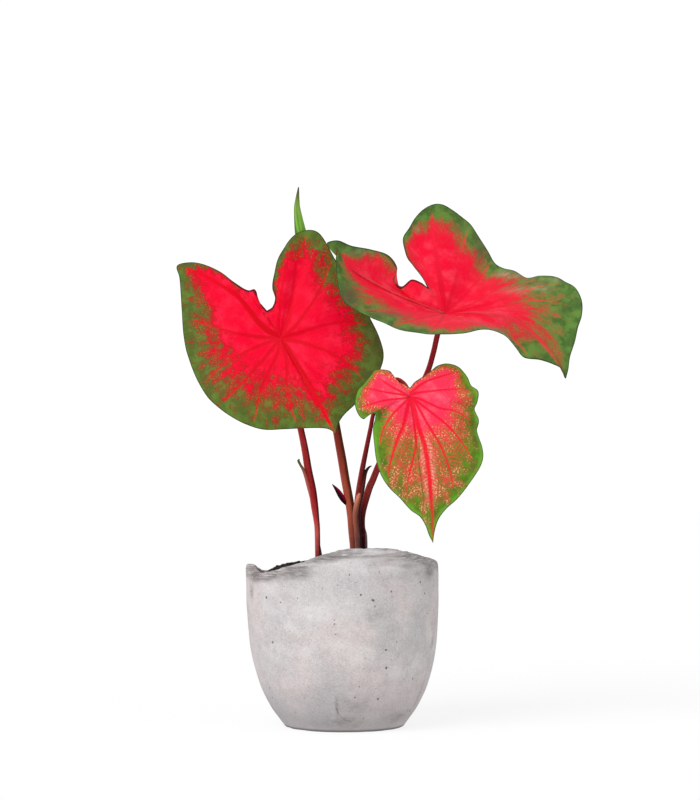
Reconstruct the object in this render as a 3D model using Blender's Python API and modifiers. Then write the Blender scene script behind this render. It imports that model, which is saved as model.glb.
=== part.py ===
# A potted caladium: three spread leaves and one leaf still rolled, each on its own petiole,
# standing in soil in a thick concrete pot whose rim was left torn and wavy.
# Blender 4.5. Metres, +Z up. The origin is the middle of the pot's flat base, and -Y is the front.

import math

import bmesh
import bpy
import numpy as np

MM = 0.001

# Driving dimensions of the pot and the soil.
GAP = 0.3 * MM
HOLE_GAP = 0.35 * MM
BASE_RADIUS = 42.6 * MM
WALL = 9 * MM
FLOOR = 10 * MM
FLOOR_RADIUS = 20 * MM
RIM = 120 * MM
# The outer wall in mm, radius and height, from the rounded foot up to below the lip.
OUTER_WALL = [(43.8, 1), (48, 6.5), (54, 15.5), (62, 33), (67.3, 55), (69.7, 84), (70.3, 112)]
# The lip in mm: how far inside the wall's outer face, and how far below the rim's height.
LIP = [(0.1, 3), (0.9, 0.8), (3, 0), (6.4, 0.5), (8.3, 2.6), (9.1, 7)]
# The cavity in mm, from the wall's inner face down to the floor.
CAVITY = [(61.1, 96), (60.4, 80), (58.2, 55), (53, 35), (44, 20), (34, 12)]
# Height of the torn rim in mm every 30 degrees, from the front round by the right.
RIM_HEIGHTS = [132, 132.5, 125.5, 119.5, 116, 113.5, 112, 111, 111.5, 118, 115, 122]
WAVE_FOOT = 78 * MM
SIDES = 56
WALL_SPACING = 12
# How far the outer skin's foot stands to the right of its lip.
LEAN = 1.8 * MM

# The soil's mound in mm, radius and height, from the middle to the pot's wall.
MOUND = [(0, 119.4), (24, 119.3), (39, 118.6), (51, 115.8), (57, 111.2), (60.5, 106)]

# Blades and stems. The spacings are in mm, along a blade's margin and along a stem.
BLADE_THICKNESS = 0.8 * MM
MARGIN_SPACING = 8
RINGS = 6
STEM_SPACING = 7.5
SHEATH_SPACING = 6
STEM_BEVEL = 3
SHEATH_BEVEL = 2

# Each blade is two halves of one margin, seen from its upper side with the apex down. Both run
# from the bottom of the sinus round the basal lobe to the apex. A row is a point of the margin in
# mm from the navel, where the petiole is attached, and then how far the middle of the ray from the
# navel to that point stands off the straight line.
LEFT_NAVEL = (-44.9, -5, 282.4)
LEFT_BLADE_RIGHT_HALF = [
    (-9.7, 3, 20.3, 0, 0, 0), (-5.7, 4, 23.2, 0, 0, 0), (-3.6, 5, 30, 0, -1, 0),
    (-5.9, 6, 38.5, 0, -1, 0), (-4, 8, 49.8, 0, -2, 0), (-1.2, 9, 59.8, 0, -2, 0),
    (3, 11, 67, 0, -3, 0), (7.5, 12, 73.6, 0, -3, 0), (13.3, 13, 78, 0, -2, 0),
    (20, 14, 79.8, 0, -1, 0), (26, 14, 78.7, 0, -1, 0), (31, 13, 73.8, 0, -2, 0),
    (38.4, 11, 60.6, 0, -3, 0), (43.5, 9, 51, 0, -4, 0), (50.7, 7, 39.2, 0, -5, 0),
    (58.7, 5, 26, 0, -5, 0), (66, 3, 13.5, 0, -4, 0), (71.9, 1, 1, 0, -4, 0),
    (75, -2, -11.4, 0, -5, 0), (73.2, -5, -21.5, 0, -5, 0), (67.4, -9, -31.7, 0, -5, 0),
    (59.4, -14, -41.9, 0, -5, 0), (53.7, -18, -48.8, 0, -4, 0), (47.8, -22, -54.3, 0, -4, 0),
    (43.6, -26, -59.6, 0, -3, 0), (41.8, -29, -64.4, 0, -3, 0), (40.3, -31, -70.4, 0, -3, 0)]
LEFT_BLADE_LEFT_HALF = [
    (-9.7, 3, 20.3, 0, 0, 0), (-13, 4, 24.3, 0, 0, 0), (-16, 5, 28.6, 0, 0, 0),
    (-18.7, 6, 35.4, 0, -1, 0), (-27.2, 7, 36.4, 0, -2, 0), (-35.2, 9, 41.9, 0, -2, 0),
    (-44, 12, 48.5, 0, -3, 0), (-55.4, 14, 54, 0, -2, 0), (-65.8, 14, 56.1, 0, -1, 0),
    (-76, 14, 53.6, 0, -1, 0), (-74.2, 14, 44.6, 0, -2, 0), (-73, 12, 31.3, 0, -3, 0),
    (-71.6, 9, 12.2, 0, -5, 0), (-69.7, 6, -4.7, 0, -5, 0), (-65.8, 2, -17.2, 0, -5, 0),
    (-60.5, -3, -29.6, 0, -6, 0), (-53, -8, -41.9, 0, -6, 0), (-44.9, -12, -49.9, 0, -6, 0),
    (-34.6, -15, -57.2, 0, -6, 0), (-22.9, -17, -63, 0, -6, 0), (-11.3, -18, -66.2, 0, -6, 0),
    (3.9, -20, -65.9, 0, -6, 0), (22, -24, -65.1, 0, -5, 0), (32.7, -27, -65.3, 0, -4, 0),
    (37.8, -29, -67.1, 0, -3, 0), (40.3, -31, -70.4, 0, -3, 0)]

RIGHT_NAVEL = (75, -4, 300.1)
RIGHT_BLADE_RIGHT_HALF = [
    (-12.5, 10, 19.3, 0, 0, 0), (-15.7, 14, 26, 0, 0, 0), (-21.4, 20, 35, 0, 1, -1),
    (-26.4, 24, 40.6, 0, 2, -2), (-29, 29, 48.2, 0, 3, -3), (-30, 34, 57.3, 0, 4, -3),
    (-25.4, 38, 65.1, 0, 4, -4), (-21, 42, 72.6, 0, 4, -4), (-14.9, 46, 79.2, 0, 4, -4),
    (-7.3, 49, 83.3, 0, 4, -4), (-0.5, 50, 83.4, 0, 4, -4), (6.2, 50, 80, 0, 4, -4),
    (14.3, 49, 74, 0, 4, -4), (21, 47, 68.1, 0, 4, -4), (26.9, 44, 58.6, 0, 4, -4),
    (33.4, 41, 48, 0, 4, -4), (38.4, 37, 39, 0, 3, -3), (44.9, 33, 34.6, 0, 3, -2),
    (52.7, 29, 32.4, 0, 2, -1), (61.2, 24, 27.2, 0, 2, 0), (70.4, 18, 28.5, 0, 2, 0),
    (81.7, 10, 27.4, 0, 2, 0), (88.5, 5, 23.5, 0, 2, 0), (95.4, 0, 18.6, 0, 2, 0),
    (99.4, -5, 9.3, 0, 2, 2), (99, -10, -1, 0, 2, 5), (95.7, -15, -10.6, 0, 3, 9),
    (93.1, -19, -20.8, 0, 3, 14), (89.3, -23, -31.7, 0, 4, 19), (87.9, -26, -40.3, 0, 4, 22),
    (86, -28, -47.2, 0, 4, 23)]
RIGHT_BLADE_LEFT_HALF = [
    (-12.5, 10, 19.3, 0, 0, 0), (-18, 9, 23.4, 0, 0, 0), (-24.6, 8, 25.2, 0, 0, 0),
    (-31.6, 5, 20, 0, 0, -1), (-37.8, 6, 25.1, -2, 0, -4), (-34.6, 8, 33.8, -9, 0, -6),
    (-41.4, 7, 43.3, -10, 0, -9), (-54.6, 3, 47.3, -8, 0, -9), (-67.7, -4, 49, -7, 0, -9),
    (-77.9, -10, 52.2, -6, 0, -8), (-85.5, -15, 49.5, -5, 0, -8), (-81, -14, 46, -6, 0, -7),
    (-77.2, -13, 46, -8, 0, -7), (-79.7, -16, 41, -6, 0, -4), (-79.3, -20, 32.5, -4, 0, -2),
    (-77.8, -25, 18, 0, 0, 1), (-74.6, -29, 9.1, 0, 0, 2), (-67.7, -34, 2.9, 0, 0, 2),
    (-54.9, -40, -4.1, 0, 0, 3), (-44.3, -45, -8.3, 0, 0, 3), (-33, -49, -13.2, 0, 0, 3),
    (-19.6, -53, -15.6, 0, 0, 3), (-1.9, -56, -16.6, 0, 0, 3), (10.9, -54, -15.5, 0, 0, 3),
    (23.1, -51, -13, 0, 0, 3), (33.9, -47, -13.6, 0, 0, 3), (43.5, -42, -18.5, 0, 0, 6),
    (49.4, -38, -25.5, 0, 0, 12), (55.3, -36, -32.2, 0, 0, 16), (66.9, -33, -34, 0, 1, 18),
    (76.4, -31, -37.2, 0, 2, 20), (83, -29, -40.4, 0, 3, 21), (86, -28, -47.2, 0, 4, 23)]

SMALL_NAVEL = (48.5, -52, 239.5)
SMALL_BLADE_RIGHT_HALF = [
    (0, 3, 6.6, 0, 0, 0), (3.5, 5, 10.9, 0, 0, 0), (10, 8, 14.9, 0, -1, 0),
    (15.8, 10, 18.8, 0, -2, 0), (20.2, 12, 22, 0, -3, 0), (27.4, 13, 23.6, 0, -3, 0),
    (35.1, 12, 21.2, 0, -3, 0), (40.8, 9, 14.5, 0, -3, 0), (43.6, 5, 8, 0, -3, 0),
    (48.5, -2, 3.8, 0, -3, 0), (47.8, 1, -3.3, 0, -3, 0), (45.9, 5, -9, 0, -3, 0),
    (48.8, -2, -16.8, 0, -4, 0), (47.6, 3, -24.7, 0, -4, 0), (50.9, -3, -35.3, 0, -5, 0),
    (51.7, -5, -42.4, 0, -5, 0), (49.5, -5, -49.5, 0, -5, 0), (43.2, -4, -59.5, 0, -5, 0),
    (34.6, -4, -70.9, 0, -5, 0), (25.4, -4, -79.4, 0, -4, 0), (20.1, -5, -86.5, 0, -3, 0),
    (17.5, -6, -94.3, 0, -3, 0), (16.2, -8, -103.6, 0, -2, 0)]
SMALL_BLADE_LEFT_HALF = [
    (0, 3, 6.6, 0, 0, 0), (-3.7, 5, 9.2, 0, 0, 0), (-8, 7, 10.8, 0, -1, 0),
    (-12.2, 9, 15.1, 0, -1, 0), (-15, 11, 18.8, 0, -2, 0), (-24.4, 12, 19.5, 0, -2, 0),
    (-28, 10, 15.2, 0, -2, 0), (-32.8, 7, 9.5, 0, -2, 0), (-37.2, 3, 4.8, 0, -2, 0),
    (-39.3, -2, -4, 0, -2, 0), (-37.1, -5, -11.8, 0, -2, 0), (-33.2, -5, -15.4, 0, -2, 0),
    (-30, 0, -12, 0, -2, 0), (-24.8, 6, -11.4, 1, -2, -1), (-24.4, 7, -15.4, 1, -3, -1),
    (-25.8, 4, -22, 0, -4, 0), (-25.4, 1, -31.8, 0, -5, 0), (-23.6, -1, -44.6, 0, -5, 0),
    (-20.8, -2, -55.2, 0, -5, 0), (-15.1, -3, -64.1, 0, -5, 0), (-7.3, -4, -71.6, 0, -5, 0),
    (0.6, -4, -80.1, 0, -4, 0), (7, -5, -84.7, 0, -3, 0), (11.2, -6, -91.5, 0, -3, 0),
    (13.4, -7, -97.9, 0, -2, 0), (16.2, -8, -103.6, 0, -2, 0)]

# Stems in mm: a point of the centre line and the radius there, from the hidden foot up.
LEFT_PETIOLE = [
    (-17, 0, 96, 1.9), (-17.6, 0, 118, 1.8), (-18, 1, 142, 1.9), (-18.7, 2, 150, 2.1),
    (-20, 3, 160, 2.5), (-21.8, 4, 172, 2.6), (-24.9, 6, 186.5, 2.5), (-27.1, 7, 201, 2.3),
    (-30.1, 8, 215.5, 2.1), (-34, 10, 232, 2), (-39, 11, 252, 1.9), (-43, 10, 267, 1.8),
    (-44.7, 6.5, 276.6, 1.7), (-45, 1.5, 280.9, 1.6), (-45, -3.2, 282.2, 1.5)]
SPEAR_PETIOLE = [
    (9.4, 2, 96, 2.6), (9.2, 2, 118, 2.6), (9.1, 2, 130, 2.7), (7.8, 2.4, 149, 2.7),
    (5.2, 3, 164.5, 3), (2.4, 4, 179, 3), (-0.1, 5, 193.6, 2.95), (-2.8, 6, 208.5, 2.85),
    (-6.8, 8.5, 232, 2.7), (-12.6, 12, 267, 2.5), (-18.6, 16, 300, 2.4), (-20.8, 17.5, 311.7, 2.3)]
SMALL_PETIOLE = [
    (12.2, -3.4, 96, 2.5), (12.2, -3.4, 130, 2.5), (10.9, -3.6, 150, 2.5), (11, -4.5, 160, 2.4),
    (12.3, -6, 171, 2.2), (14.9, -9, 186.5, 1.9), (17.8, -12, 201, 1.6), (20.7, -17.5, 216, 1.5),
    (22.9, -22, 228, 1.5), (27.6, -28, 240.5, 1.5), (33.5, -33.5, 249, 1.5), (39, -38.5, 252.3, 1.45),
    (44.2, -42.3, 249.6, 1.4), (47.4, -45, 244.6, 1.35), (48.4, -47.2, 240.6, 1.3),
    (48.5, -49.6, 239.1, 1.25)]
RIGHT_PETIOLE = [
    (15.9, 2.5, 96, 2.4), (15.8, 2.5, 130, 2.5), (14.6, 2.7, 147, 2.3), (15.8, 3, 157, 2.3),
    (18.4, 3, 165, 2.4), (22.7, 3, 179, 2.4), (27.2, 3, 190, 2.3), (34, 3, 204.6, 2.1),
    (42.6, 3, 220.7, 2), (52.4, 2.5, 237.5, 2), (62.3, 1, 257.5, 2), (66.7, 0, 271.8, 2),
    (69.6, -1.5, 284.6, 2), (72.8, -2.6, 293.8, 1.9), (74.6, -2.9, 298.2, 1.8)]

# Sheaths in mm, each grown from its petiole: from the free tip down to where it is lost in the stem.
LEFT_SHEATHS = [
    [(-31.9, 4, 193, 0.6), (-29.8, 4, 188.6, 0.9), (-27.4, 4, 184, 1.1), (-25.4, 4, 178, 1.3),
     (-23.6, 3.5, 171, 1.4), (-22, 3, 162, 1.4), (-20, 2.5, 152, 1.2)],
    [(-16.8, 0.4, 133, 0.7), (-16, 0, 126, 1.2), (-15.5, 0, 118, 1.5), (-16, 0, 108, 1.4)]]
SPEAR_SHEATHS = [
    [(-7.1, 1, 175.8, 0.4), (-4.4, 1, 171.7, 1), (-1.5, 1.2, 166.7, 1.4), (1.5, 1.5, 161.8, 1.5),
     (4.2, 2, 155.5, 1.4), (6.3, 2, 147, 1)]]
SMALL_SHEATHS = [
    [(21.1, -7, 189.1, 0.3), (18.6, -7, 188, 0.5), (17.3, -7, 185.5, 0.7), (16.8, -7, 180.8, 0.9),
     (15.8, -6.6, 175, 1.1), (14.6, -6, 168.4, 1.2), (13.1, -5.2, 161, 1)],
    [(13, -7.8, 168.8, 0.8), (11.3, -7.4, 164, 1.6), (9.4, -6, 157, 1.9), (8.8, -4.8, 150, 1.8),
     (9.6, -4.2, 138, 1.6), (10.8, -4, 128, 1.2)]]
RIGHT_SHEATHS = [
    [(17.3, 2.6, 143, 0.6), (17.6, 2.6, 136, 1.3), (17.4, 2.6, 128, 1.8), (16.8, 2.6, 114, 1.6)]]

# The leaf that is still rolled, in mm, from its foot on the petiole to its tip.
SPEAR = [
    (-20.9, 17.6, 312.1, 2.4), (-22.8, 18, 322, 3.6), (-25.6, 18.5, 336, 4.7),
    (-28.4, 19, 350, 4.9), (-30.8, 19.5, 361.5, 4.35), (-33.1, 20, 377.5, 2.6),
    (-33, 20.2, 384.5, 1.7), (-32.1, 20.5, 394.5, 0.45)]

CONCRETE = (0.58, 0.55, 0.53)
EARTH = (0.03, 0.022, 0.018)
LEAF_RED = (0.72, 0.03, 0.06)
LEAF_PINK = (0.75, 0.08, 0.14)
STEM_RED = (0.36, 0.04, 0.04)
STEM_BROWN = (0.3, 0.09, 0.06)
YOUNG_GREEN = (0.3, 0.5, 0.08)


def clear_scene():
    for thing in list(bpy.data.objects):
        bpy.data.objects.remove(thing, do_unlink=True)


def new_collection(name):
    made = bpy.data.collections.new(name)
    bpy.context.scene.collection.children.link(made)
    return made


def finish(name, colour, roughness):
    """A plain material of one colour."""
    made = bpy.data.materials.new(name)
    made.use_nodes = True
    shader = made.node_tree.nodes["Principled BSDF"]
    shader.inputs["Base Color"].default_value = (*colour, 1)
    shader.inputs["Roughness"].default_value = roughness
    shader.inputs["Metallic"].default_value = 0
    return made


def between(a, b, c, d, t):
    """The place at t between b and c on a smooth curve through a, b, c and d."""
    bend = (2 * a - 5 * b + 4 * c - d) * t ** 2 + (3 * b - a - 3 * c + d) * t ** 3
    return b + ((c - a) * t + bend) / 2


def smooth_curve(points, spacing):
    """Places about a spacing apart on a smooth curve through the points, which are among them."""
    points = np.array(points, dtype=float)
    path = np.vstack([2 * points[0] - points[1], points, 2 * points[-1] - points[-2]])
    places = []
    for a, b, c, d in zip(path, path[1:], path[2:], path[3:]):
        steps = max(1, round(np.linalg.norm((c - b)[:3]) / spacing))
        places.extend(between(a, b, c, d, step / steps) for step in range(steps))
    return np.array(places + [points[-1]])


def add_object(name, data, collection, material):
    made = bpy.data.objects.new(name, data)
    collection.objects.link(made)
    if material is not None:
        data.materials.append(material)
    return made


def shade_round(mesh, angle=50):
    mesh.shade_smooth()
    mesh.set_sharp_from_angle(angle=math.radians(angle))


def evaluated_mesh(made):
    """The mesh of a curve or of an object with modifiers, with its caps welded."""
    made_evaluated = made.evaluated_get(bpy.context.evaluated_depsgraph_get())
    mesh = bpy.data.meshes.new_from_object(made_evaluated)
    mesh.transform(made.matrix_world)
    work = bmesh.new()
    work.from_mesh(mesh)
    bmesh.ops.remove_doubles(work, verts=work.verts, dist=1e-6)
    work.to_mesh(mesh)
    work.free()
    return mesh


def turned(name, profile, sides, collection, material):
    """A profile of radius and height in metres, turned once round the Z axis."""
    mesh = bpy.data.meshes.new(name)
    edges = [(i, i + 1) for i in range(len(profile) - 1)]
    mesh.from_pydata([(radius, 0, height) for radius, height in profile], edges, [])
    made = add_object(name, mesh, collection, material)
    screw = made.modifiers.new("Turn", "SCREW")
    screw.steps = sides
    screw.render_steps = sides
    screw.use_merge_vertices = True
    screw.merge_threshold = 0.00001
    screw.use_smooth_shade = True
    return made


def tube_mesh(name, rows, spacing, bevel, grow=0.0):
    """A tapered tube along a smooth curve. Each row is a point and a radius in mm, and grow is
    what is added to the radius, and to the tube's foot, in metres."""
    rows = [list(row) for row in rows]
    lowest = min(rows, key=lambda row: row[2])
    lowest[2] -= grow / MM
    curve = bpy.data.curves.new(name, "CURVE")
    curve.dimensions = "3D"
    curve.bevel_depth = MM
    curve.bevel_resolution = bevel
    curve.use_fill_caps = True
    places = smooth_curve(rows, spacing)
    spline = curve.splines.new("POLY")
    spline.points.add(len(places) - 1)
    for point, (x, y, z, radius) in zip(spline.points, places):
        point.co = (x * MM, y * MM, z * MM, 1)
        point.radius = radius + grow / MM
    guide = bpy.data.objects.new(name, curve)
    bpy.context.scene.collection.objects.link(guide)
    bpy.context.view_layer.update()
    mesh = evaluated_mesh(guide)
    mesh.name = name
    bpy.data.objects.remove(guide, do_unlink=True)
    bpy.data.curves.remove(curve)
    shade_round(mesh)
    return mesh


def add_tool(name, mesh, collection):
    tool = add_object(name, mesh, collection, None)
    tool.hide_render = True
    tool.display_type = "WIRE"
    return tool


def boolean(made, tool, operation):
    step = made.modifiers.new(tool.name, "BOOLEAN")
    step.operation = operation
    step.object = tool
    step.solver = "EXACT"


def rim_height(azimuth):
    """The rim's height at an azimuth in radians from the front, positive to the right."""
    share = (azimuth / (2 * math.pi)) % 1 * len(RIM_HEIGHTS)
    i = int(share)
    t = share - i
    a, b, c, d = (RIM_HEIGHTS[(i + k) % len(RIM_HEIGHTS)] for k in (-1, 0, 1, 2))
    return between(a, b, c, d, t) * MM


def cavity_profile(gap):
    """The pot's inner face from the lip down to the middle of the floor, drawn in by gap."""
    wall = [(radius * MM - gap, height * MM) for radius, height in CAVITY]
    wall[-1] = (wall[-1][0], wall[-1][1] + gap)
    return wall + [(FLOOR_RADIUS, FLOOR + gap), (0, FLOOR + gap)]


def add_pot(collection, material):
    """A thick turned pot. Its outer skin leans a little, and its upper part is drawn up and down
    to the torn rim."""
    outer = [(radius * MM, height * MM) for radius, height in smooth_curve(OUTER_WALL, WALL_SPACING)]
    top_radius = OUTER_WALL[-1][0] * MM
    lip = [(top_radius - inside * MM, RIM - below * MM) for inside, below in LIP]
    profile = cavity_profile(0)[::-1] + lip[::-1] + outer[::-1] + [(BASE_RADIUS, 0), (0, 0)]
    guide = turned("pot_profile", profile, SIDES, collection, None)
    bpy.context.view_layer.update()
    mesh = evaluated_mesh(guide)
    mesh.name = "pot"
    bpy.data.objects.remove(guide, do_unlink=True)
    cavity_heights = [height * MM for radius, height in CAVITY[::-1]]
    cavity_radii = [radius * MM for radius, height in CAVITY[::-1]]
    for vertex in mesh.vertices:
        x, y, z = vertex.co
        if math.hypot(x, y) > np.interp(z, cavity_heights, cavity_radii) + WALL / 2:
            vertex.co.x = x + LEAN * (1 - z / RIM)
        share = max(0.0, (z - WAVE_FOOT) / (RIM - WAVE_FOOT))
        share = share * share * (3 - 2 * share)
        vertex.co.z = z + (rim_height(math.atan2(x, -y)) - RIM) * share
    shade_round(mesh)
    return add_object("pot", mesh, collection, material)


def add_soil(collection, material, tools, stems):
    """The soil fills the pot, and has one plain hole for each stem and sheath that stands in it."""
    mound = [(radius * MM, height * MM) for radius, height in MOUND]
    soil = turned("soil", mound + cavity_profile(GAP), SIDES, collection, material)
    top = MOUND[0][1]
    for stem, tubes in stems:
        for number, (rows, spacing, bevel) in enumerate(tubes):
            if min(row[2] for row in rows) < top:
                name = f"{stem}_hole_{number}"
                mesh = tube_mesh(name, rows, spacing, bevel, grow=HOLE_GAP)
                boolean(soil, add_tool(name, mesh, tools), "DIFFERENCE")
    return soil


def add_blade(name, navel, right_half, left_half, collection, material):
    """A leaf blade: rays from the navel to every point of the margin, bowed by the rows' last
    numbers, as one open sheet with the upper side out, thickened downwards."""
    right = smooth_curve(right_half, MARGIN_SPACING)
    left = smooth_curve(left_half, MARGIN_SPACING)
    margin = np.vstack([right, left[-2::-1]])
    around = len(margin) - 1
    work = bmesh.new()
    bmesh.ops.create_grid(work, x_segments=around, y_segments=RINGS, size=0.5)
    for vertex in work.verts:
        row = margin[round((vertex.co.x + 0.5) * around)]
        out = vertex.co.y + 0.5
        bow = out * (1 - out) * (2 + 3.375 * out)
        place = np.array(navel) + row[:3] * out + row[3:] * bow
        vertex.co = place * MM
    bmesh.ops.remove_doubles(work, verts=work.verts, dist=1e-6)
    bmesh.ops.triangulate(work, faces=work.faces)
    mesh = bpy.data.meshes.new(name)
    work.to_mesh(mesh)
    work.free()
    mesh.shade_smooth()
    blade = add_object(name, mesh, collection, material)
    sheet = blade.modifiers.new("Thickness", "SOLIDIFY")
    sheet.thickness = BLADE_THICKNESS
    sheet.offset = -1
    return blade


def add_petiole(name, rows, sheaths, collection, material, tools):
    petiole = add_object(name, tube_mesh(name, rows, STEM_SPACING, STEM_BEVEL), collection, material)
    for number, sheath in enumerate(sheaths):
        tool_name = f"{name}_sheath_{number}"
        mesh = tube_mesh(tool_name, sheath, SHEATH_SPACING, SHEATH_BEVEL)
        boolean(petiole, add_tool(tool_name, mesh, tools), "UNION")
    tubes = [(rows, STEM_SPACING, STEM_BEVEL)]
    return name, tubes + [(sheath, SHEATH_SPACING, SHEATH_BEVEL) for sheath in sheaths]


clear_scene()
plant = new_collection("potted_caladium")
tools = new_collection("tools")

red_blade = finish("blade_red", LEAF_RED, 0.45)
pink_blade = finish("blade_pink", LEAF_PINK, 0.45)
red_stem = finish("stem_red", STEM_RED, 0.4)
brown_stem = finish("stem_brown", STEM_BROWN, 0.45)

add_pot(plant, finish("concrete", CONCRETE, 0.85))
stems = [
    add_petiole("leaf_left_petiole", LEFT_PETIOLE, LEFT_SHEATHS, plant, red_stem, tools),
    add_petiole("leaf_right_petiole", RIGHT_PETIOLE, RIGHT_SHEATHS, plant, red_stem, tools),
    add_petiole("leaf_small_petiole", SMALL_PETIOLE, SMALL_SHEATHS, plant, red_stem, tools),
    add_petiole("spear_petiole", SPEAR_PETIOLE, SPEAR_SHEATHS, plant, brown_stem, tools)]
add_soil(plant, finish("earth", EARTH, 0.95), tools, stems)
add_blade("leaf_left_blade", LEFT_NAVEL, LEFT_BLADE_RIGHT_HALF, LEFT_BLADE_LEFT_HALF, plant, red_blade)
add_blade("leaf_right_blade", RIGHT_NAVEL, RIGHT_BLADE_RIGHT_HALF, RIGHT_BLADE_LEFT_HALF, plant, red_blade)
add_blade("leaf_small_blade", SMALL_NAVEL, SMALL_BLADE_RIGHT_HALF, SMALL_BLADE_LEFT_HALF, plant, pink_blade)
spear_mesh = tube_mesh("spear", SPEAR, STEM_SPACING, STEM_BEVEL)
add_object("spear", spear_mesh, plant, finish("young_green", YOUNG_GREEN, 0.4))
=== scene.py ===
import math
import random

import bmesh
import bpy
import numpy as np
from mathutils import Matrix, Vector, kdtree, noise


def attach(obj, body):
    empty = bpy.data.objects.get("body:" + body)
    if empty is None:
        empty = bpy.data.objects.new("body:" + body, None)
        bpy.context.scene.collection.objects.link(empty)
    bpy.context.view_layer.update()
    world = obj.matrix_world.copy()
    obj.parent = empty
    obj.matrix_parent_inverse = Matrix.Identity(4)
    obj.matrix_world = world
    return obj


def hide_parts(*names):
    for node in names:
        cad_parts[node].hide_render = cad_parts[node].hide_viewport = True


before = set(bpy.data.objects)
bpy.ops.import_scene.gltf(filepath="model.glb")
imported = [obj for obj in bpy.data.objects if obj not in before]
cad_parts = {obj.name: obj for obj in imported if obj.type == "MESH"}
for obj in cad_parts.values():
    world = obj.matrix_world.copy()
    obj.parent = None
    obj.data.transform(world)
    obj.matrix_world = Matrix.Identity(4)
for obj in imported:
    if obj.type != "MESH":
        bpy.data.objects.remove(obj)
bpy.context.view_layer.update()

# The camera
# It stands two metres in front of the plant, level and a little above the middle of its height,
# and looks along +Y through a long lens, so that the plant hardly narrows with distance.
MM = 0.001
lens = bpy.data.cameras.new("camera")
lens.sensor_width = 36
lens.lens = 123.3
camera = bpy.data.objects.new("camera", lens)
camera.location = (5.84 * MM, -2, 237.5 * MM)
camera.rotation_euler = (math.radians(90), 0, 0)
bpy.context.scene.collection.objects.link(camera)
bpy.context.scene.camera = camera

# The pot
# Grey concrete, cast in a mould and left as it came out: matt and cloudy, with small pits where
# bubbles sat. The wall is 9 mm thick. The rim was never trimmed, so it is torn and wavy.

# Radius and height in mm: the hidden floor, the inner face and the lip, the outer face, and the base.
POT_FLOOR = [(0, 10), (20, 10), (34, 12), (44, 20), (53, 35), (58.2, 55)]
POT_LIP = [(60.4, 80), (61.1, 96), (61.2, 113), (62, 117.4), (63.9, 119.5), (67.3, 120), (69.6, 119.6),
           (70.2, 118), (70.3, 112)]
POT_OUTSIDE = [(70.3, 112), (69.7, 84), (67.3, 55), (62, 33), (54, 15.5), (48, 6.5), (43.8, 1)]
POT_BASE = [(42.9, 0.2), (42.2, 0), (30, 0), (0, 0)]
POT_SIDES = 380
OUTSIDE_SPACING = 1.15
LIP_SPACING = 0.75
# The rim's height in these lists. Above the wave's foot, the wall is drawn up or down to the torn rim.
RIM = 120
WAVE_FOOT = 78
# Height of the torn rim in mm every 30 degrees, from the front round by the right.
RIM_HEIGHTS = [132, 132.5, 125.5, 119.5, 116, 113.5, 112, 111, 111.5, 118, 113.6, 121.3]
# How far the foot of the outer face stands off to the right.
LEAN = 1.8
# How far the rough band of the lip reaches down, how soft its end is, and the height it keeps above.
ROUGH_BAND = 9
ROUGH_END = 4.5
ROUGH_ABOVE = 100
# Radii near the outer face's own, for the noise on it and for the width of its stains and painted edge
# shade.
NOISE_RADIUS = 70
STAIN_AND_SHADE_RADIUS = 68
# Nearer to the axis than this, on the floor and on the base, there are no pits, no stains and no painted
# shade.
PLAIN_RADIUS = 40
# Pits on the front: across and up in mm, and radius.
FRONT_PITS = [
    (-13.6, 104.4, 0.4), (-31.3, 97.3, 0.4), (-14.3, 98, 0.3), (-3, 107.2, 0.4), (5.5, 114.3, 0.5),
    (26.7, 115.7, 0.4), (13.6, 100.1, 0.7), (35.2, 101.8, 0.6), (36.2, 98, 0.35), (22.6, 96, 0.8),
    (23.6, 91.8, 0.45), (-5.1, 79.6, 0.5), (-5.1, 82.4, 0.4), (-4.3, 72.4, 0.5), (13.6, 80.3, 0.35),
    (-43.4, 93.9, 0.5), (-67, 71.8, 0.5), (25.6, 25.2, 0.85), (9.4, 26.8, 0.6), (12.4, 34.6, 0.45),
    (44.2, 38.6, 0.5), (50.6, 38, 0.6), (-60.2, 48.4, 0.4), (36.3, 74, 0.45)]
SCATTERED_PITS = 90
# How far a pit's hollow reaches, as a share of its radius, and the height that pits stay below.
PIT_REACH = 1.25
PITS_BELOW = 116
# Stains on the front: across, up, half width and half height in mm, and how dark. Below 0 is pale. The two
# tall spots at either edge, across -71 and 71, are painted shade where the wall turns away from the light.
FRONT_STAINS_AND_SHADE = [
    (-62, 111, 8, 4, 0.8), (-50, 110.5, 10, 3, 0.5), (-34, 113, 14, 3, 0.6), (-65, 100, 4, 7, 0.6),
    (63, 114, 7, 4.6, 0.9), (54, 114, 4, 2, 0.4), (21, 126.8, 9, 0.9, 0.9), (34, 124.4, 7, 0.8, 0.5),
    (46, 119.5, 9, 1.2, 0.65), (28, 121, 10, 3, 0.35), (-8, 126.8, 7, 2, 0.2),
    (-20, 122, 18, 1.6, -0.6), (33, 119, 9, 1.4, -0.6), (4, 124, 9, 1.2, -0.2), (8, 128.5, 14, 2, 0.4),
    (10, 119, 18, 5, -0.35), (65, 63, 2, 4, 0.6), (20, 84, 5, 5, 0.3), (30, 86, 5, 3, 0.2),
    (8, 18, 12, 9, 0.4), (-16, 24, 9, 8, 0.2), (2, 7, 34, 4, 0.4), (40, 10, 16, 4, 0.5),
    (56, 26, 4, 18, 0.4), (-53, 20, 3, 10, 0.25), (-14, 88, 20, 12, -0.35), (-10, 76, 8, 8, 0.12),
    (-71, 66, 10, 60, 0.25), (71, 66, 10, 60, 0.15), (-3.4, 20, 1.4, 8, 0.5), (3, 10, 5, 2, 0.4),
    (-28, 116.5, 12, 4, 0.5), (-15, 125.4, 16, 3.5, 0.6), (20, 129, 15, 3, -0.8),
    (52, 100, 12, 10, -0.25), (20, 86, 6, 6, 0.2), (-4, 36, 16, 10, 0.15)]
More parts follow.
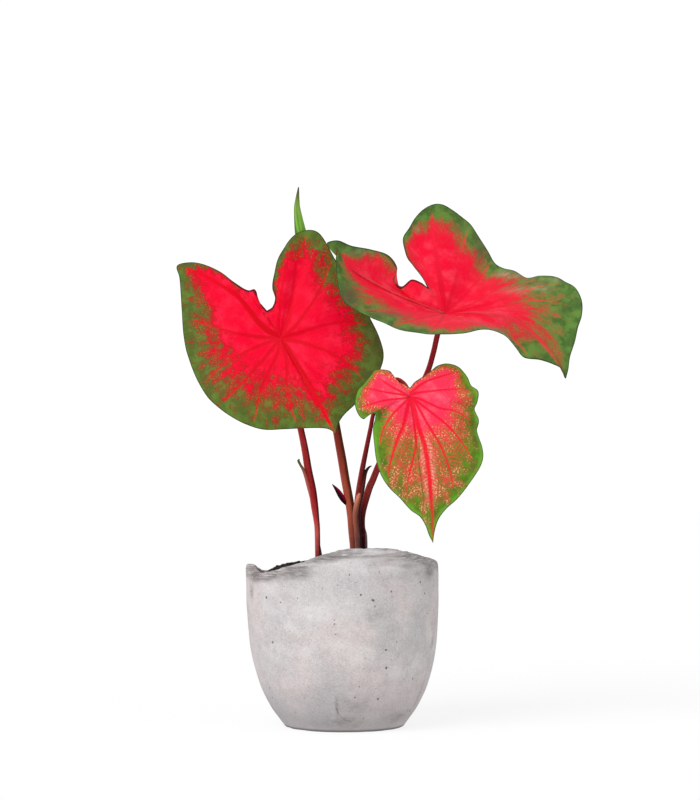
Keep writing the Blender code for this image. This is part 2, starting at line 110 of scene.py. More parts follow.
# The hairline crack that runs up from the foot, across and up in mm.
CRACK = [(-4.4, 27.9), (-4.8, 22), (-3.2, 17), (-1.2, 13), (2.5, 9.6), (7, 8.2)]


def between(a, b, c, d, t):
    """The place at t between b and c on a smooth curve through a, b, c and d."""
    bend = (2 * a - 5 * b + 4 * c - d) * t ** 2 + (3 * b - a - 3 * c + d) * t ** 3
    return b + ((c - a) * t + bend) / 2


def smooth_curve(points, spacing):
    """Places about a spacing apart on a smooth curve through the points, which are among them."""
    points = np.array(points, dtype=float)
    path = np.vstack([2 * points[0] - points[1], points, 2 * points[-1] - points[-2]])
    places = []
    for a, b, c, d in zip(path, path[1:], path[2:], path[3:]):
        steps = max(1, round(np.linalg.norm((c - b)[:3]) / spacing))
        places.extend(between(a, b, c, d, step / steps) for step in range(steps))
    return np.array(places + [points[-1]])


def fade(value, low, high):
    """0 below low and 1 above high, smooth between them. High may be the smaller of the two."""
    share = np.clip((value - low) / (high - low), 0, 1)
    return share * share * (3 - 2 * share)


def cloud(places, size, octaves, seed):
    """A cloudy value of about -1 to 1 at each place, whose largest patches are about a size across."""
    offset = Vector((seed * 17.3, seed * 7.1, seed * 29.7))
    return np.array([noise.fractal(Vector(spot) / size + offset, 1, 2, octaves) for spot in places])


def new_piece(name, points, faces, marks=None, sides=None):
    """A mesh object from points in mm. Marks are values kept at each point, for its material."""
    mesh = bpy.data.meshes.new(name)
    mesh.from_pydata((np.asarray(points) * MM).tolist(), [], faces)
    for mark, values in (marks or {}).items():
        values = np.asarray(values, dtype=np.float32)
        kind = "FLOAT" if values.ndim == 1 else "FLOAT_VECTOR"
        layer = mesh.attributes.new(mark, kind, "POINT")
        layer.data.foreach_set("value" if values.ndim == 1 else "vector", values.ravel())
    if sides is not None:
        mesh.polygons.foreach_set("material_index", np.asarray(sides, dtype=np.int32))
    mesh.shade_smooth()
    piece = bpy.data.objects.new(name, mesh)
    bpy.context.scene.collection.objects.link(piece)
    return piece


def turn_round(profile, sides):
    """For each point of a profile turned round the Z axis: its row, radius, height and angle."""
    row = np.repeat(np.arange(len(profile)), sides)
    angles = np.tile(np.arange(sides) / sides * 2 * math.pi, len(profile))
    return row, profile[row, 0], profile[row, 1], angles


def ring_faces(rings, around):
    """Four-sided faces between rings of points that are stored one ring after the other."""
    index = np.arange(rings * around).reshape(rings, around)
    right = np.roll(index, -1, axis=1)
    return np.stack([index[:-1], right[:-1], right[1:], index[1:]], axis=-1).reshape(-1, 4).tolist()


def closed_faces(rings, around):
    """The faces between rings, and triangles that close the first and the last ring. Their two
    middle points are stored after the rings."""
    faces = ring_faces(rings, around)
    count = rings * around
    last = count - around
    for i in range(around):
        j = (i + 1) % around
        faces.append([count, j, i])
        faces.append([count + 1, last + i, last + j])
    return faces


def rim_height(turn):
    """The torn rim's height at a share of a turn from the front, by the right."""
    spot = turn % 1 * len(RIM_HEIGHTS)
    i = int(spot)
    a, b, c, d = (RIM_HEIGHTS[(i + k) % len(RIM_HEIGHTS)] for k in (-1, 0, 1, 2))
    return between(a, b, c, d, spot - i)


def paint(red, green, blue):
    """A colour from the 0 to 255 values of a screen."""
    values = np.array([red, green, blue]) / 255
    linear = np.where(values <= 0.04045, values / 12.92, ((values + 0.055) / 1.055) ** 2.4)
    return (*linear.tolist(), 1)


def place(tree, kind, values=(), **settings):
    """Adds a shader node. Each value is set or linked to the input of that name or number."""
    made = tree.nodes.new(kind)
    for key, value in settings.items():
        setattr(made, key, value)
    for key, value in dict(values).items():
        if isinstance(value, bpy.types.NodeSocket):
            tree.links.new(value, made.inputs[key])
        else:
            made.inputs[key].default_value = value
    return made


def tree_with(*values):
    """The node tree that the linked ones among these values are in."""
    return next(value.id_data for value in values if isinstance(value, bpy.types.NodeSocket))


def sums(operation, *values):
    """The result of one sum on values."""
    return place(tree_with(*values), "ShaderNodeMath", enumerate(values), operation=operation).outputs[0]


def times(product, *others):
    """Several values multiplied together."""
    for other in others:
        product = sums("MULTIPLY", product, other)
    return product


def grade(value, low, high, at_low=0.0, at_high=1.0):
    """Goes smoothly from one value to another while a mask goes from low to high."""
    values = enumerate((value, low, high, at_low, at_high))
    return place(value.id_data, "ShaderNodeMapRange", values, interpolation_type="SMOOTHSTEP").outputs[0]


def mix(factor, first, second, blend_type="MIX"):
    """The first colour where a mask is 0, and the second where it is 1."""
    values = {0: factor, 6: first, 7: second}
    tree = tree_with(factor, first, second)
    return place(tree, "ShaderNodeMix", values, data_type="RGBA", blend_type=blend_type).outputs[2]


def mark(tree, name, output="Fac"):
    """A value that is kept at the mesh's points."""
    return place(tree, "ShaderNodeAttribute", attribute_name=name).outputs[output]


def grain(where, scale, detail=2.0, rough=0.5):
    """Noise of about 0 to 1."""
    values = {"Vector": where, "Scale": scale, "Detail": detail, "Roughness": rough}
    return place(where.id_data, "ShaderNodeTexNoise", values).outputs["Fac"]


def stretch(where, scale):
    """A place scaled by another amount along each axis."""
    return place(where.id_data, "ShaderNodeMapping", {"Vector": where, "Scale": scale}).outputs[0]


def new_group(name, inputs, outputs):
    """A shader node group, and the sockets inside it where its inputs and outputs are linked."""
    group = bpy.data.node_groups.new(name, "ShaderNodeTree")
    for socket, kind in inputs.items():
        group.interface.new_socket(name=socket, in_out="INPUT", socket_type="NodeSocket" + kind)
    for socket, kind in outputs.items():
        group.interface.new_socket(name=socket, in_out="OUTPUT", socket_type="NodeSocket" + kind)
    return group, group.nodes.new("NodeGroupInput").outputs, group.nodes.new("NodeGroupOutput").inputs


def new_material(name, roughness):
    """A material, its node tree and its Principled shader."""
    made = bpy.data.materials.new(name)
    made.use_nodes = True
    shader = made.node_tree.nodes["Principled BSDF"]
    shader.inputs["Roughness"].default_value = roughness
    return made, made.node_tree, shader


def roughen(shader, height, strength, distance):
    """Feeds a height to the shader's normal."""
    tree = shader.id_data
    bump = place(tree, "ShaderNodeBump", {"Height": height, "Strength": strength, "Distance": distance})
    tree.links.new(bump.outputs[0], shader.inputs["Normal"])


def make_concrete():
    """Cloudy grey with a pink cast, sand grains, pinholes, stains and painted shade at the side edges,
    scratched under the torn rim, with painted shade darkening it towards the foot and where it meets the
    table."""
    made, tree, shader = new_material("concrete", 0.88)
    where = place(tree, "ShaderNodeTexCoord").outputs["Object"]
    large = grade(grain(where, 24, 3), 0.38, 0.62)
    middle = grade(grain(where, 100, 5, 0.65), 0.36, 0.68)
    blotch = grade(grain(where, 55, 3, 0.5), 0.5, 0.7)
    sand = grain(where, 850, 3, 0.7)
    colour = mix(large, paint(189, 185, 186), paint(204, 193, 192))
    colour = mix(times(middle, 0.5), colour, paint(168, 163, 163))
    colour = mix(times(blotch, 0.45), colour, paint(214, 210, 210))
    colour = mix(grade(sand, 0.45, 0.7, 0.0, 0.4), colour, paint(226, 222, 221))
    colour = mix(grade(sand, 0.45, 0.25, 0.0, 0.5), colour, paint(138, 132, 131))
    height = place(tree, "ShaderNodeSeparateXYZ", {0: where}).outputs[2]
    # Painted shade: darker towards the foot, and darker still at the very bottom where the pot meets the
    # table.
    colour = mix(grade(height, 0.05, 0.0, 0.0, 0.5), colour, paint(132, 127, 129))
    colour = mix(grade(height, 0.0026, 0.0008, 0.0, 0.75), colour, paint(84, 80, 80))
    scratches = grain(stretch(where, (1, 1, 9)), 120, 5, 0.7)
    torn = times(mark(tree, "torn"), grade(scratches, 0.58, 0.34, 0.3, 0.85))
    colour = mix(torn, colour, paint(112, 107, 106))
    flakes = times(mark(tree, "torn"), grade(scratches, 0.58, 0.68, 0.0, 0.6))
    colour = mix(flakes, colour, paint(238, 236, 235))
    smear = grain(stretch(where, (1, 1, 3)), 170, 5, 0.7)
    # The stain mark darkens real stains and also the painted shade at the pot's side edges; below 0 it makes
    # pale spots.
    dark = times(mark(tree, "stain_and_shade"), grade(smear, 0.25, 0.7, 0.3, 1.0))
    colour = mix(sums("MAXIMUM", dark, 0.0), colour, paint(98, 93, 92))
    pale = sums("MAXIMUM", times(dark, -1.0), 0.0)
    colour = mix(pale, colour, paint(236, 234, 234))
    cells = place(tree, "ShaderNodeTexVoronoi", {"Vector": where, "Scale": 300.0})
    picked = place(tree, "ShaderNodeSeparateColor", {0: cells.outputs["Color"]}).outputs[0]
    hole = grade(cells.outputs["Distance"], 0.2, 0.08)
    hole = times(hole, grade(picked, 0.7, 1.0))
    colour = mix(times(hole, 0.6), colour, paint(128, 120, 118))
    colour = mix(mark(tree, "pit"), colour, paint(104, 98, 96))
    tree.links.new(colour, shader.inputs["Base Color"])
    height = sums("ADD", times(sand, 0.4), times(middle, 0.7))
    height = sums("SUBTRACT", height, sums("ADD", hole, torn))
    roughen(shader, height, 0.5, 0.0003)
    shader.inputs["Specular IOR Level"].default_value = 0.3
    return made


def pot_radius(up):
    """The outer face's radius at a height."""
    radii, heights = zip(*POT_OUTSIDE[::-1])
    return np.interp(up, heights, radii)


def lean(up):
    """How far the outer face stands off to the right at a height."""
    return LEAN * (1 - up / RIM)


def pot_place(across, up):
    """A place on the front of the pot, as an angle from the front and a height."""
    return math.asin(np.clip((across - lean(up)) / pot_radius(up), -1, 1)), up


def add_pot():
    """The pot's skin as rings from the hidden floor up over the lip and down to the base."""
    outside = smooth_curve(POT_OUTSIDE, OUTSIDE_SPACING)[1:]
    lip = smooth_curve(POT_LIP, LIP_SPACING)
    profile = np.vstack([POT_FLOOR, lip, outside, POT_BASE])[1:-1]
    tangent = np.gradient(profile, axis=0)
    normal = np.stack([-tangent[:, 1], tangent[:, 0]], axis=1)
    normal /= np.linalg.norm(normal, axis=1)[:, None]
    row, radius, height, angles = turn_round(profile, POT_SIDES)
    rims = np.tile([rim_height(side / POT_SIDES) for side in range(POT_SIDES)], len(profile))
    outer = row >= len(POT_FLOOR) - 1 + len(lip) * 0.6
    share = fade(height, WAVE_FOOT, RIM)
    z = height + (rims - RIM) * share
    below = rims - z
    around = np.stack([NOISE_RADIUS * np.sin(angles), -NOISE_RADIUS * np.cos(angles), z], axis=1)
    # The wall is never quite even, and its lip is torn in small steps and streaks along the rim.
    bulge = 0.3 * cloud(around, 22, 2, 1)
    torn = fade(below, ROUGH_BAND, ROUGH_BAND - ROUGH_END) * (row >= len(POT_FLOOR) + 4)
    ragged = cloud(around * (1, 1, 2.5), 9, 4, 2)
    streaks = cloud(around * (1, 1, 6), 7, 4, 3)
    push = np.where(outer, bulge, 0) - torn * (0.22 + 0.42 * streaks) * (z > ROUGH_ABOVE)
    push -= 0.35 * fade(below, 4, 0) * np.abs(ragged)
    spread = normal[row]
    x = (radius + push * spread[:, 0]) * np.sin(angles)
    y = -(radius + push * spread[:, 0]) * np.cos(angles)
    z = z + push * spread[:, 1] + 0.45 * fade(below, 5, 0) * ragged
    x = x + np.where(outer, lean(height), 0)
    points = np.vstack([np.stack([x, y, z], axis=1), (0, 0, POT_FLOOR[0][1]), (0, 0, 0)])
    faces = [face[::-1] for face in closed_faces(len(profile), POT_SIDES)]
    pot = new_piece("pot_shell", points, faces, {"torn": np.append(torn, (0, 0))})
    press_pits(pot)
    return pot


def press_pits(pot):
    """Open bubbles in the outer face: the faces round each are divided and its points pushed in.
    The stains, the painted edge shade and the crack are marked on the same points."""
    draw = random.Random(7)
    pits = [(*pot_place(across, up), radius) for across, up, radius in FRONT_PITS]
    for _ in range(SCATTERED_PITS):
        angle = draw.uniform(-math.pi, math.pi)
        pits.append((angle, draw.uniform(8, 108), 0.35 + 0.6 * draw.random() ** 3))
    crack = [(*pot_place(across, up), 0.35) for across, up in smooth_curve(CRACK, 0.5)]
    holes = []
    for angle, up, radius in pits + crack:
        level = pot_radius(up)
        spot = Vector((level * math.sin(angle) + lean(up), -level * math.cos(angle), up))
        holes.append((spot, radius))
    tree = kdtree.KDTree(len(holes))
    for i, (spot, radius) in enumerate(holes):
        tree.insert(spot, i)
    tree.balance()
    work = bmesh.new()
    work.from_mesh(pot.data)
    near = []
    for face in work.faces:
        centre = face.calc_center_median() / MM
        if math.hypot(centre.x, centre.y) > PLAIN_RADIUS and centre.z < PITS_BELOW:
            spot, i, distance = tree.find(centre)
            if distance < holes[i][1] + 1.1 and centre.dot(face.normal) > 0:
                near.append(face)
    edges = list({edge for face in near for edge in face.edges})
    bmesh.ops.subdivide_edges(work, edges=edges, cuts=2, use_grid_fill=True)
    work.normal_update()
    pit_layer = work.verts.layers.float.new("pit")
    stain_and_shade_layer = work.verts.layers.float.new("stain_and_shade")
    stain_and_shade_spots = [(*pot_place(across, up), wide, high, dark) for across, up, wide, high, dark in FRONT_STAINS_AND_SHADE]
    for vertex in work.verts:
        here = vertex.co / MM
        spot, i, distance = tree.find(here)
        radius = holes[i][1]
        if distance < radius * PIT_REACH and here.dot(vertex.normal) > 0:
            depth = max(0.0, 1 - (distance / (radius * PIT_REACH)) ** 2)
            vertex[pit_layer] = min(1.0, depth * 1.6) * (0.55 if radius < 0.4 else 1)
            vertex.co -= vertex.normal * depth * radius * 0.9 * MM
        angle = math.atan2(here.x - lean(here.z), -here.y)
        total = 0
        for centre, up, wide, high, dark in stain_and_shade_spots:
            gap = ((angle - centre) * STAIN_AND_SHADE_RADIUS / wide) ** 2 + ((here.z - up) / high) ** 2
            total += dark * math.exp(-gap)
        vertex[stain_and_shade_layer] = total if math.hypot(here.x, here.y) > PLAIN_RADIUS else 0
    work.to_mesh(pot.data)
    work.free()


pot = add_pot()
pot.data.materials.append(make_concrete())
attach(pot, "root")
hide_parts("pot")

# The soil
# Dark, moist potting compost, filled to just under the lowest part of the rim and mounded
# towards the stalks. Loose crumbs and bits of bark lie on top.
MOUND = [(0, 119.4), (24, 119), (36, 118.2), (44, 116.8), (53, 113.6), (57.5, 110.4), (60.5, 106)]
SOIL_INSIDE = [(60.6, 96), (60, 80), (57.9, 55), (52.7, 35), (43.7, 20), (33.7, 12.3), (20, 10.3)]
SOIL_SIDES = 240
CRUMBS = 420
BARK_BITS = 46


def make_compost():
    """Nearly black grains, with paler bits where they are marked."""
    made, tree, shader = new_material("compost", 0.93)
    where = place(tree, "ShaderNodeTexCoord").outputs["Object"]
    grains = grain(where, 420, 5, 0.7)
    colour = mix(grade(grains, 0.35, 0.7), paint(15, 9, 8), paint(38, 28, 24))
    colour = mix(mark(tree, "pale"), colour, paint(72, 56, 45))
    tree.links.new(colour, shader.inputs["Base Color"])
    roughen(shader, grains, 0.8, 0.0008)
    shader.inputs["Specular IOR Level"].default_value = 0.2
    return made


def lump(centre, size, squash, seed):
    """One crumb: a small ball, pressed out of shape."""
    work = bmesh.new()
    bmesh.ops.create_icosphere(work, subdivisions=2, radius=1)
    points = []
    for vertex in work.verts:
        swell = 1 + 0.45 * noise.noise(vertex.co * 1.3 + Vector((seed, 0, 0)))
        points.append(np.array(centre) + np.array(vertex.co) * swell * size * np.array(squash))
    faces = [[vertex.index for vertex in face.verts] for face in work.faces]
    work.free()
    return points, faces


def add_soil():
    """The soil's skin with a rough mound, and crumbs and flat bits of bark strewn on it."""
    top = smooth_curve(MOUND, 1.0)[1:]
    profile = np.vstack([top, SOIL_INSIDE])
    row, radius, height, angles = turn_round(profile, SOIL_SIDES)
    points = np.stack([radius * np.sin(angles), -radius * np.cos(angles), height], axis=1)
    on_top = (row < len(top)) * fade(radius, 61, 58)
    rough = 0.6 * cloud(points, 7, 4, 5) + 0.4 * np.abs(cloud(points, 2.2, 2, 6))
    points[:, 2] += on_top * rough
    faces = [face[::-1] for face in closed_faces(len(profile), SOIL_SIDES)]
    points = np.vstack([points, (0, 0, MOUND[0][1] + 0.3), (0, 0, SOIL_INSIDE[-1][1])])
    pale = [0.0] * len(points)
    draw = random.Random(11)
    points = points.tolist()
    for number in range(CRUMBS + BARK_BITS):
        turn = draw.uniform(0, 2 * math.pi)
        out = 57 * math.sqrt(draw.random())
        level = np.interp(out, [r for r, z in MOUND], [z for r, z in MOUND])
        centre = (out * math.sin(turn), -out * math.cos(turn), level + 0.2)
        if number < CRUMBS:
            size = 0.6 + 0.9 * draw.random() ** 2.5
            squash = (1, draw.uniform(0.7, 1.2), draw.uniform(0.55, 0.9))
        else:
            size = draw.uniform(1, 1.8)
            lie = draw.uniform(0, math.pi)
            squash = (0.5 + 1.6 * abs(math.cos(lie)), 0.5 + 1.6 * abs(math.sin(lie)), 0.35)
        crumb, crumb_faces = lump(centre, size, squash, number * 3.7)
        first = len(points)
        points.extend(crumb)
        faces.extend([first + i for i in face] for face in crumb_faces)
        pale.extend([0.7 * draw.random() ** 3 + (0.5 if number >= CRUMBS else 0)] * len(crumb))
    return new_piece("compost", points, faces, {"pale": pale})


soil = add_soil()
soil.data.materials.append(make_compost())
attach(soil, "root")
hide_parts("soil")

# The stalks
# Four round, juicy leaf stalks, about 3 to 6 mm thick and faintly ribbed lengthwise. Each grows out of
# the soil by itself, and carries thin dry sheaths that once wrapped the leaf before it.

# A point of the centre line in mm and the radius there, from the hidden foot up to the blade.
LEFT_STALK = [
    (-17, 0, 100, 2), (-17.6, 0, 118, 1.9), (-18, 1, 142, 2), (-18.7, 2, 150, 2.2),
    (-20, 3, 160, 2.7), (-21.7, 4, 172, 2.85), (-24.7, 6, 186.5, 2.75), (-27.1, 7, 201, 2.6),
    (-30.1, 8, 215.5, 2.4), (-34, 10, 232, 2.2), (-39, 11, 252, 2), (-43, 10, 267, 1.8),
    (-44.7, 6.5, 276.6, 1.7), (-45, 1.5, 280.9, 1.6), (-45, -3.2, 282.2, 1.5), (-44.9, -4.6, 282.3, 1.6)]
SPEAR_STALK = [
    (9.2, 2, 100, 2.8), (9, 2, 118, 2.8), (8.8, 2, 130, 3), (7.7, 2.2, 142, 3.1), (6.9, 2.4, 152, 3.1),
    (5.2, 3, 164.5, 3.2), (2.5, 4, 179, 3.2), (0.1, 5, 193.6, 3.2), (-2.6, 6, 208.5, 3.05),
    (-6.7, 8.5, 232, 2.85), (-12.6, 12, 267, 2.6), (-18.6, 16, 300, 2.4), (-20.8, 17.5, 312.4, 2.4)]
SMALL_STALK = [
    (12.2, -3.2, 100, 2.5), (12.2, -3.2, 130, 2.6), (11.4, -3.4, 142, 2.7), (10.9, -3.6, 150, 2.7),
    (11.2, -4.5, 160, 2.6), (12.4, -6, 171, 2.4), (14.7, -9, 186.5, 2), (17.5, -12, 201, 1.75),
    (20.5, -17.5, 216, 1.6), (22.9, -22, 228, 1.5), (27.6, -28, 240.5, 1.5), (33.5, -33.5, 249, 1.5),
    (39, -38.5, 252.3, 1.45), (44.2, -42.3, 249.6, 1.4), (47.4, -45, 244.6, 1.35), (48.4, -47.2, 240.6, 1.3),
    (48.5, -51.2, 239.4, 1.3)]
RIGHT_STALK = [
    (15.4, 2.5, 100, 2.4), (15.3, 2.5, 130, 2.5), (14.2, 2.6, 147, 2.6), (14.8, 2.8, 155, 2.6),
    (16.8, 3, 163, 2.6), (20, 3, 173.4, 2.6), (22.5, 3, 179, 2.5), (27, 3, 190, 2.4), (34, 3, 204.6, 2.2),
    (42.6, 3, 220.7, 2.1), (52.4, 2.5, 237.5, 2), (62.3, 1, 257.5, 2), (66.7, 0, 271.8, 2),
    (69.6, -1.5, 284.6, 2), (72.8, -2.6, 293.8, 1.9), (74.9, -3.6, 299.6, 1.8)]
# Sheaths, from the free tip down to where they are lost in the stalk, in the same form.
LEFT_SHEATHS = [
    [(-31.2, 4, 194.4, 0.5), (-31.9, 4, 193.2, 1.1), (-30.4, 3.8, 190, 1.1), (-28.3, 3.6, 186.5, 1.4),
     (-26.5, 3.4, 181.5, 1.5), (-24.7, 3.2, 175, 1.6), (-22.9, 3.2, 168, 1.5), (-21.2, 3.4, 160, 1.1)],
    [(-16.8, 0.4, 134, 0.5), (-16, 0, 126, 1.4), (-15.3, 0, 118, 1.8), (-16, 0, 108, 1.4)]]
SPEAR_SHEATHS = [
    [(-7.4, 1, 176.2, 0.2), (-5.4, 1, 174, 1.1), (-3.2, 1, 171.2, 2), (-1, 1.2, 167.8, 2.5),
     (1, 1.5, 164.6, 2.3), (3.4, 2.4, 161.4, 1.5), (5.4, 3, 158, 1)]]
SMALL_SHEATHS = [
    [(22, -7, 189.6, 0.2), (20.2, -7, 189, 0.8), (18.2, -7, 186.8, 1.3), (16.6, -7, 183.4, 1.8),
     (15.6, -7, 178.6, 2.1), (14.8, -6.6, 173.6, 2.2), (14, -6, 168, 2), (12.8, -5.2, 161, 1.6)],
    [(13, -7.8, 169.8, 1.1), (12.2, -7.6, 167.4, 2), (11, -7.2, 163, 2.3), (10, -6.6, 158, 2.3),
     (9.5, -5.8, 153, 2.1), (9.8, -4.8, 147, 1.9), (10.6, -3.8, 139, 1.6)]]
RIGHT_SHEATHS = [
    [(16.6, 2.6, 144, 0.4), (17.2, 2.4, 139, 1.3), (17.3, 2.2, 130, 1.6), (17, 2.2, 114, 1.6)]]
STALK_SIDES = 32
SHEATH_SIDES = 20
RING_SPACING = 1.1
# The height in mm at which the stalks come out of the soil.
SOIL_LEVEL = 118


def sweep(rows, sides, spacing, section, twist=0.0):
    """Rings of points along a smooth centre line. The section gives a share of the radius for
    each angle, where angle 0 faces the front and a quarter turn faces the right."""
    places = smooth_curve(rows, spacing)
    centres = places[:, :3]
    tangent = np.gradient(centres, axis=0)
    tangent /= np.linalg.norm(tangent, axis=1)[:, None]
    front = np.array((0, -1, 0)) - tangent * (-tangent[:, 1])[:, None]
    front /= np.linalg.norm(front, axis=1)[:, None]
    right = np.cross(front, tangent)
    length = np.concatenate([[0], np.cumsum(np.linalg.norm(np.diff(centres, axis=0), axis=1))])
    angles = np.arange(sides) / sides * 2 * math.pi
    rings = []
    for i, centre in enumerate(centres):
        turned = angles + twist * length[i] / length[-1]
        radius = places[i, 3] * section(angles, length[i])
        forward = np.outer(radius * np.cos(turned), front[i])
        rings.append(centre + forward + np.outer(radius * np.sin(turned), right[i]))
    return np.array(rings), length, angles


def closed_tube(rings, length, angles):
    """Points and faces of a tube with a point at each end. For each point also its angle, how far
    along it is, and both as a place that streaks can follow."""
    points = np.vstack([rings.reshape(-1, 3), rings[0].mean(0), rings[-1].mean(0)])
    turn = np.append(np.tile(angles, len(rings)), (0, 0))
    along = np.append(np.repeat(length, len(angles)), (0, length[-1]))
    flow = np.stack([np.cos(turn), np.sin(turn), along], axis=1)
    return points, closed_faces(*rings.shape[:2]), turn, along, flow


def make_stalk_skin(name, heights_and_colours, flank, strip, dry, new):
    """Smooth skin, coloured by height and streaked lengthwise. Its left edge is paler, a painted highlight
    on the side the key light comes from, and a strip along its right flank is darker, from one share of the
    radius to another: partly the stalk's own darker flank and partly painted shade on the side away from the
    light. A dry and a new sheath each have a colour at the base, at the tip and on the right, and the change
    towards the right is painted light and shade across the flattened sheath."""
    made, tree, shader = new_material(name, 0.4)
    ramp = place(tree, "ShaderNodeValToRGB", {0: mark(tree, "climb")})
    stops = ramp.color_ramp.elements
    while len(stops) < len(heights_and_colours):
        stops.new(0.5)
    low, high = heights_and_colours[0][0], heights_and_colours[-1][0]
    for stop, (height, colour) in zip(stops, heights_and_colours):
        stop.position = (height - low) / (high - low)
        stop.color = paint(*colour)
    flow = mark(tree, "flow", "Vector")
    streaks = grain(stretch(flow, (4, 4, 0.16)), 1.0, 3)
    blotches = grain(flow, 0.22, 3)
    side = sums("MULTIPLY_ADD", sums("SUBTRACT", streaks, 0.5), 0.5, mark(tree, "flank"))
    # Painted highlight: the left edge, towards the key light, is paler.
    colour = mix(grade(side, -0.45, -0.95, 0.0, 0.3), ramp.outputs[0], paint(222, 116, 106))
    colour = mix(grade(streaks, 0.35, 0.7, 0.0, 0.2), colour, paint(*flank))
    colour = mix(grade(blotches, 0.5, 0.8, 0.0, 0.2), colour, paint(190, 104, 84))
    # The darker strip on the right flank: partly the stalk's own colour, partly painted shade on the side
    # away from the light.
    colour = mix(grade(side, *strip, 0.0, 0.95), colour, paint(*flank))
    sheaths = []
    for base, end, right in (dry, new):
        sheath = mix(mark(tree, "tip"), paint(*base), paint(*end))
        # The sheath's right side takes its own colour: painted light and shade across the flattened sheath.
        sheaths.append(mix(grade(side, 0.0, 0.6, 0.0, 0.9), sheath, paint(*right)))
    colour = mix(mark(tree, "dry"), colour, sheaths[0])
    colour = mix(mark(tree, "new"), colour, sheaths[1])
    tree.links.new(colour, shader.inputs["Base Color"])
    roughen(shader, streaks, 0.3, 0.0002)
    shader.inputs["Specular IOR Level"].default_value = 0.06
    return made


def ribbed(angles, length):
    """A stalk's section, with faint ribs that wind a little."""
    return 1 + 0.03 * np.sin(9 * angles) + 0.02 * np.sin(5 * angles + 1 + length / 40)


def flattened(angles, length):
    """A sheath's section, a little narrower than deep."""
    return 1 / np.hypot(np.cos(angles), np.sin(angles) / 0.85)


def add_stalk(name, node, rows, dry_sheaths, new_sheaths, skin):
    """A stalk with its sheaths, in one mesh."""
    points, faces = [], []
    marks = {key: [] for key in ("climb", "flank", "flow", "tip", "dry", "new")}
    paths = [(rows, 0, 0)]
    paths += [(path, 1, 0) for path in dry_sheaths]
    paths += [(path, 0, 1) for path in new_sheaths]
    for path, dry, new in paths:
        section, sides = (ribbed, STALK_SIDES) if path is rows else (flattened, SHEATH_SIDES)
        tube, tube_faces, turn, along, flow = closed_tube(*sweep(path, sides, RING_SPACING, section))
        first = len(points)
        points.extend(tube.tolist())
        faces.extend([first + i for i in face] for face in tube_faces)
        marks["climb"].extend((tube[:, 2] - SOIL_LEVEL) / (rows[-1][2] - SOIL_LEVEL))
        upwards = path[-1][2] > path[0][2]
        marks["flank"].extend(-np.sin(turn) if upwards else np.sin(turn))
        marks["flow"].extend(flow.tolist())
        marks["tip"].extend(fade(along, 15, 3))
        marks["dry"].extend([float(dry)] * len(tube))
        marks["new"].extend([float(new)] * len(tube))
    stalk = new_piece(name, points, faces, marks)
    stalk.data.materials.append(skin)
    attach(stalk, "root")
    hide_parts(node)


left_skin = make_stalk_skin(
    "left_stalk_skin",
    [(SOIL_LEVEL, (110, 34, 40)), (126, (158, 62, 60)), (140, (204, 90, 84)), (152, (180, 50, 50)),
     (174, (146, 28, 34)), (206, (196, 56, 54)), (230, (196, 54, 54)), (282, (236, 92, 88))],
    (72, 0, 12), (0.25, 0.9), [(176, 88, 76), (74, 92, 58), (150, 84, 66)],
    [(78, 14, 28), (60, 8, 20), (60, 8, 20)])
add_stalk("left_stalk", "leaf_left_petiole", LEFT_STALK, LEFT_SHEATHS[:1], LEFT_SHEATHS[1:], left_skin)
# The spear stalk's sheath: crimson on its right, its own colour where the light falls, and near black at its
# base and tip, painted shade on its lower side.
SPEAR_SHEATH = [(44, 0, 14), (32, 2, 12), (158, 8, 50)]
spear_skin = make_stalk_skin(
    "spear_stalk_skin",
    [(SOIL_LEVEL, (112, 58, 44)), (135, (134, 70, 54)), (160, (176, 86, 64)), (185, (168, 68, 54)),
     (230, (164, 60, 50)), (290, (128, 76, 44)), (312, (122, 150, 60))],
    (82, 44, 18), (0.1, 0.55), SPEAR_SHEATH, SPEAR_SHEATH)
add_stalk("spear_stalk", "spear_petiole", SPEAR_STALK, SPEAR_SHEATHS, [], spear_skin)
small_skin = make_stalk_skin(
    "small_stalk_skin",
    [(SOIL_LEVEL, (92, 58, 54)), (140, (110, 70, 64)), (158, (112, 40, 38)), (180, (122, 30, 32)),
     (239, (150, 28, 36))],
    (40, 2, 8), (0.1, 0.7), [(96, 40, 32), (60, 40, 34), (50, 18, 14)],
    [(160, 92, 74), (206, 124, 100), (140, 78, 64)])
add_stalk("small_stalk", "leaf_small_petiole", SMALL_STALK, SMALL_SHEATHS[:1], SMALL_SHEATHS[1:], small_skin)
RIGHT_SHEATH = [(104, 86, 90), (120, 100, 102), (120, 102, 108)]
right_skin = make_stalk_skin(
    "right_stalk_skin",
    [(SOIL_LEVEL, (52, 4, 16)), (144, (58, 4, 16)), (156, (112, 30, 32)), (168, (172, 62, 58)),
     (240, (172, 46, 50)), (299, (160, 30, 44))],
    (80, 6, 18), (0.2, 0.9), RIGHT_SHEATH, RIGHT_SHEATH)
add_stalk("right_stalk", "leaf_right_petiole", RIGHT_STALK, RIGHT_SHEATHS, [], right_skin)

# The left leaf
# A thin arrow-shaped blade that hangs from its navel, where the stalk joins it. It is hot red,
# mottled towards a green margin. The veins are sunk above and stand out as ribs below.

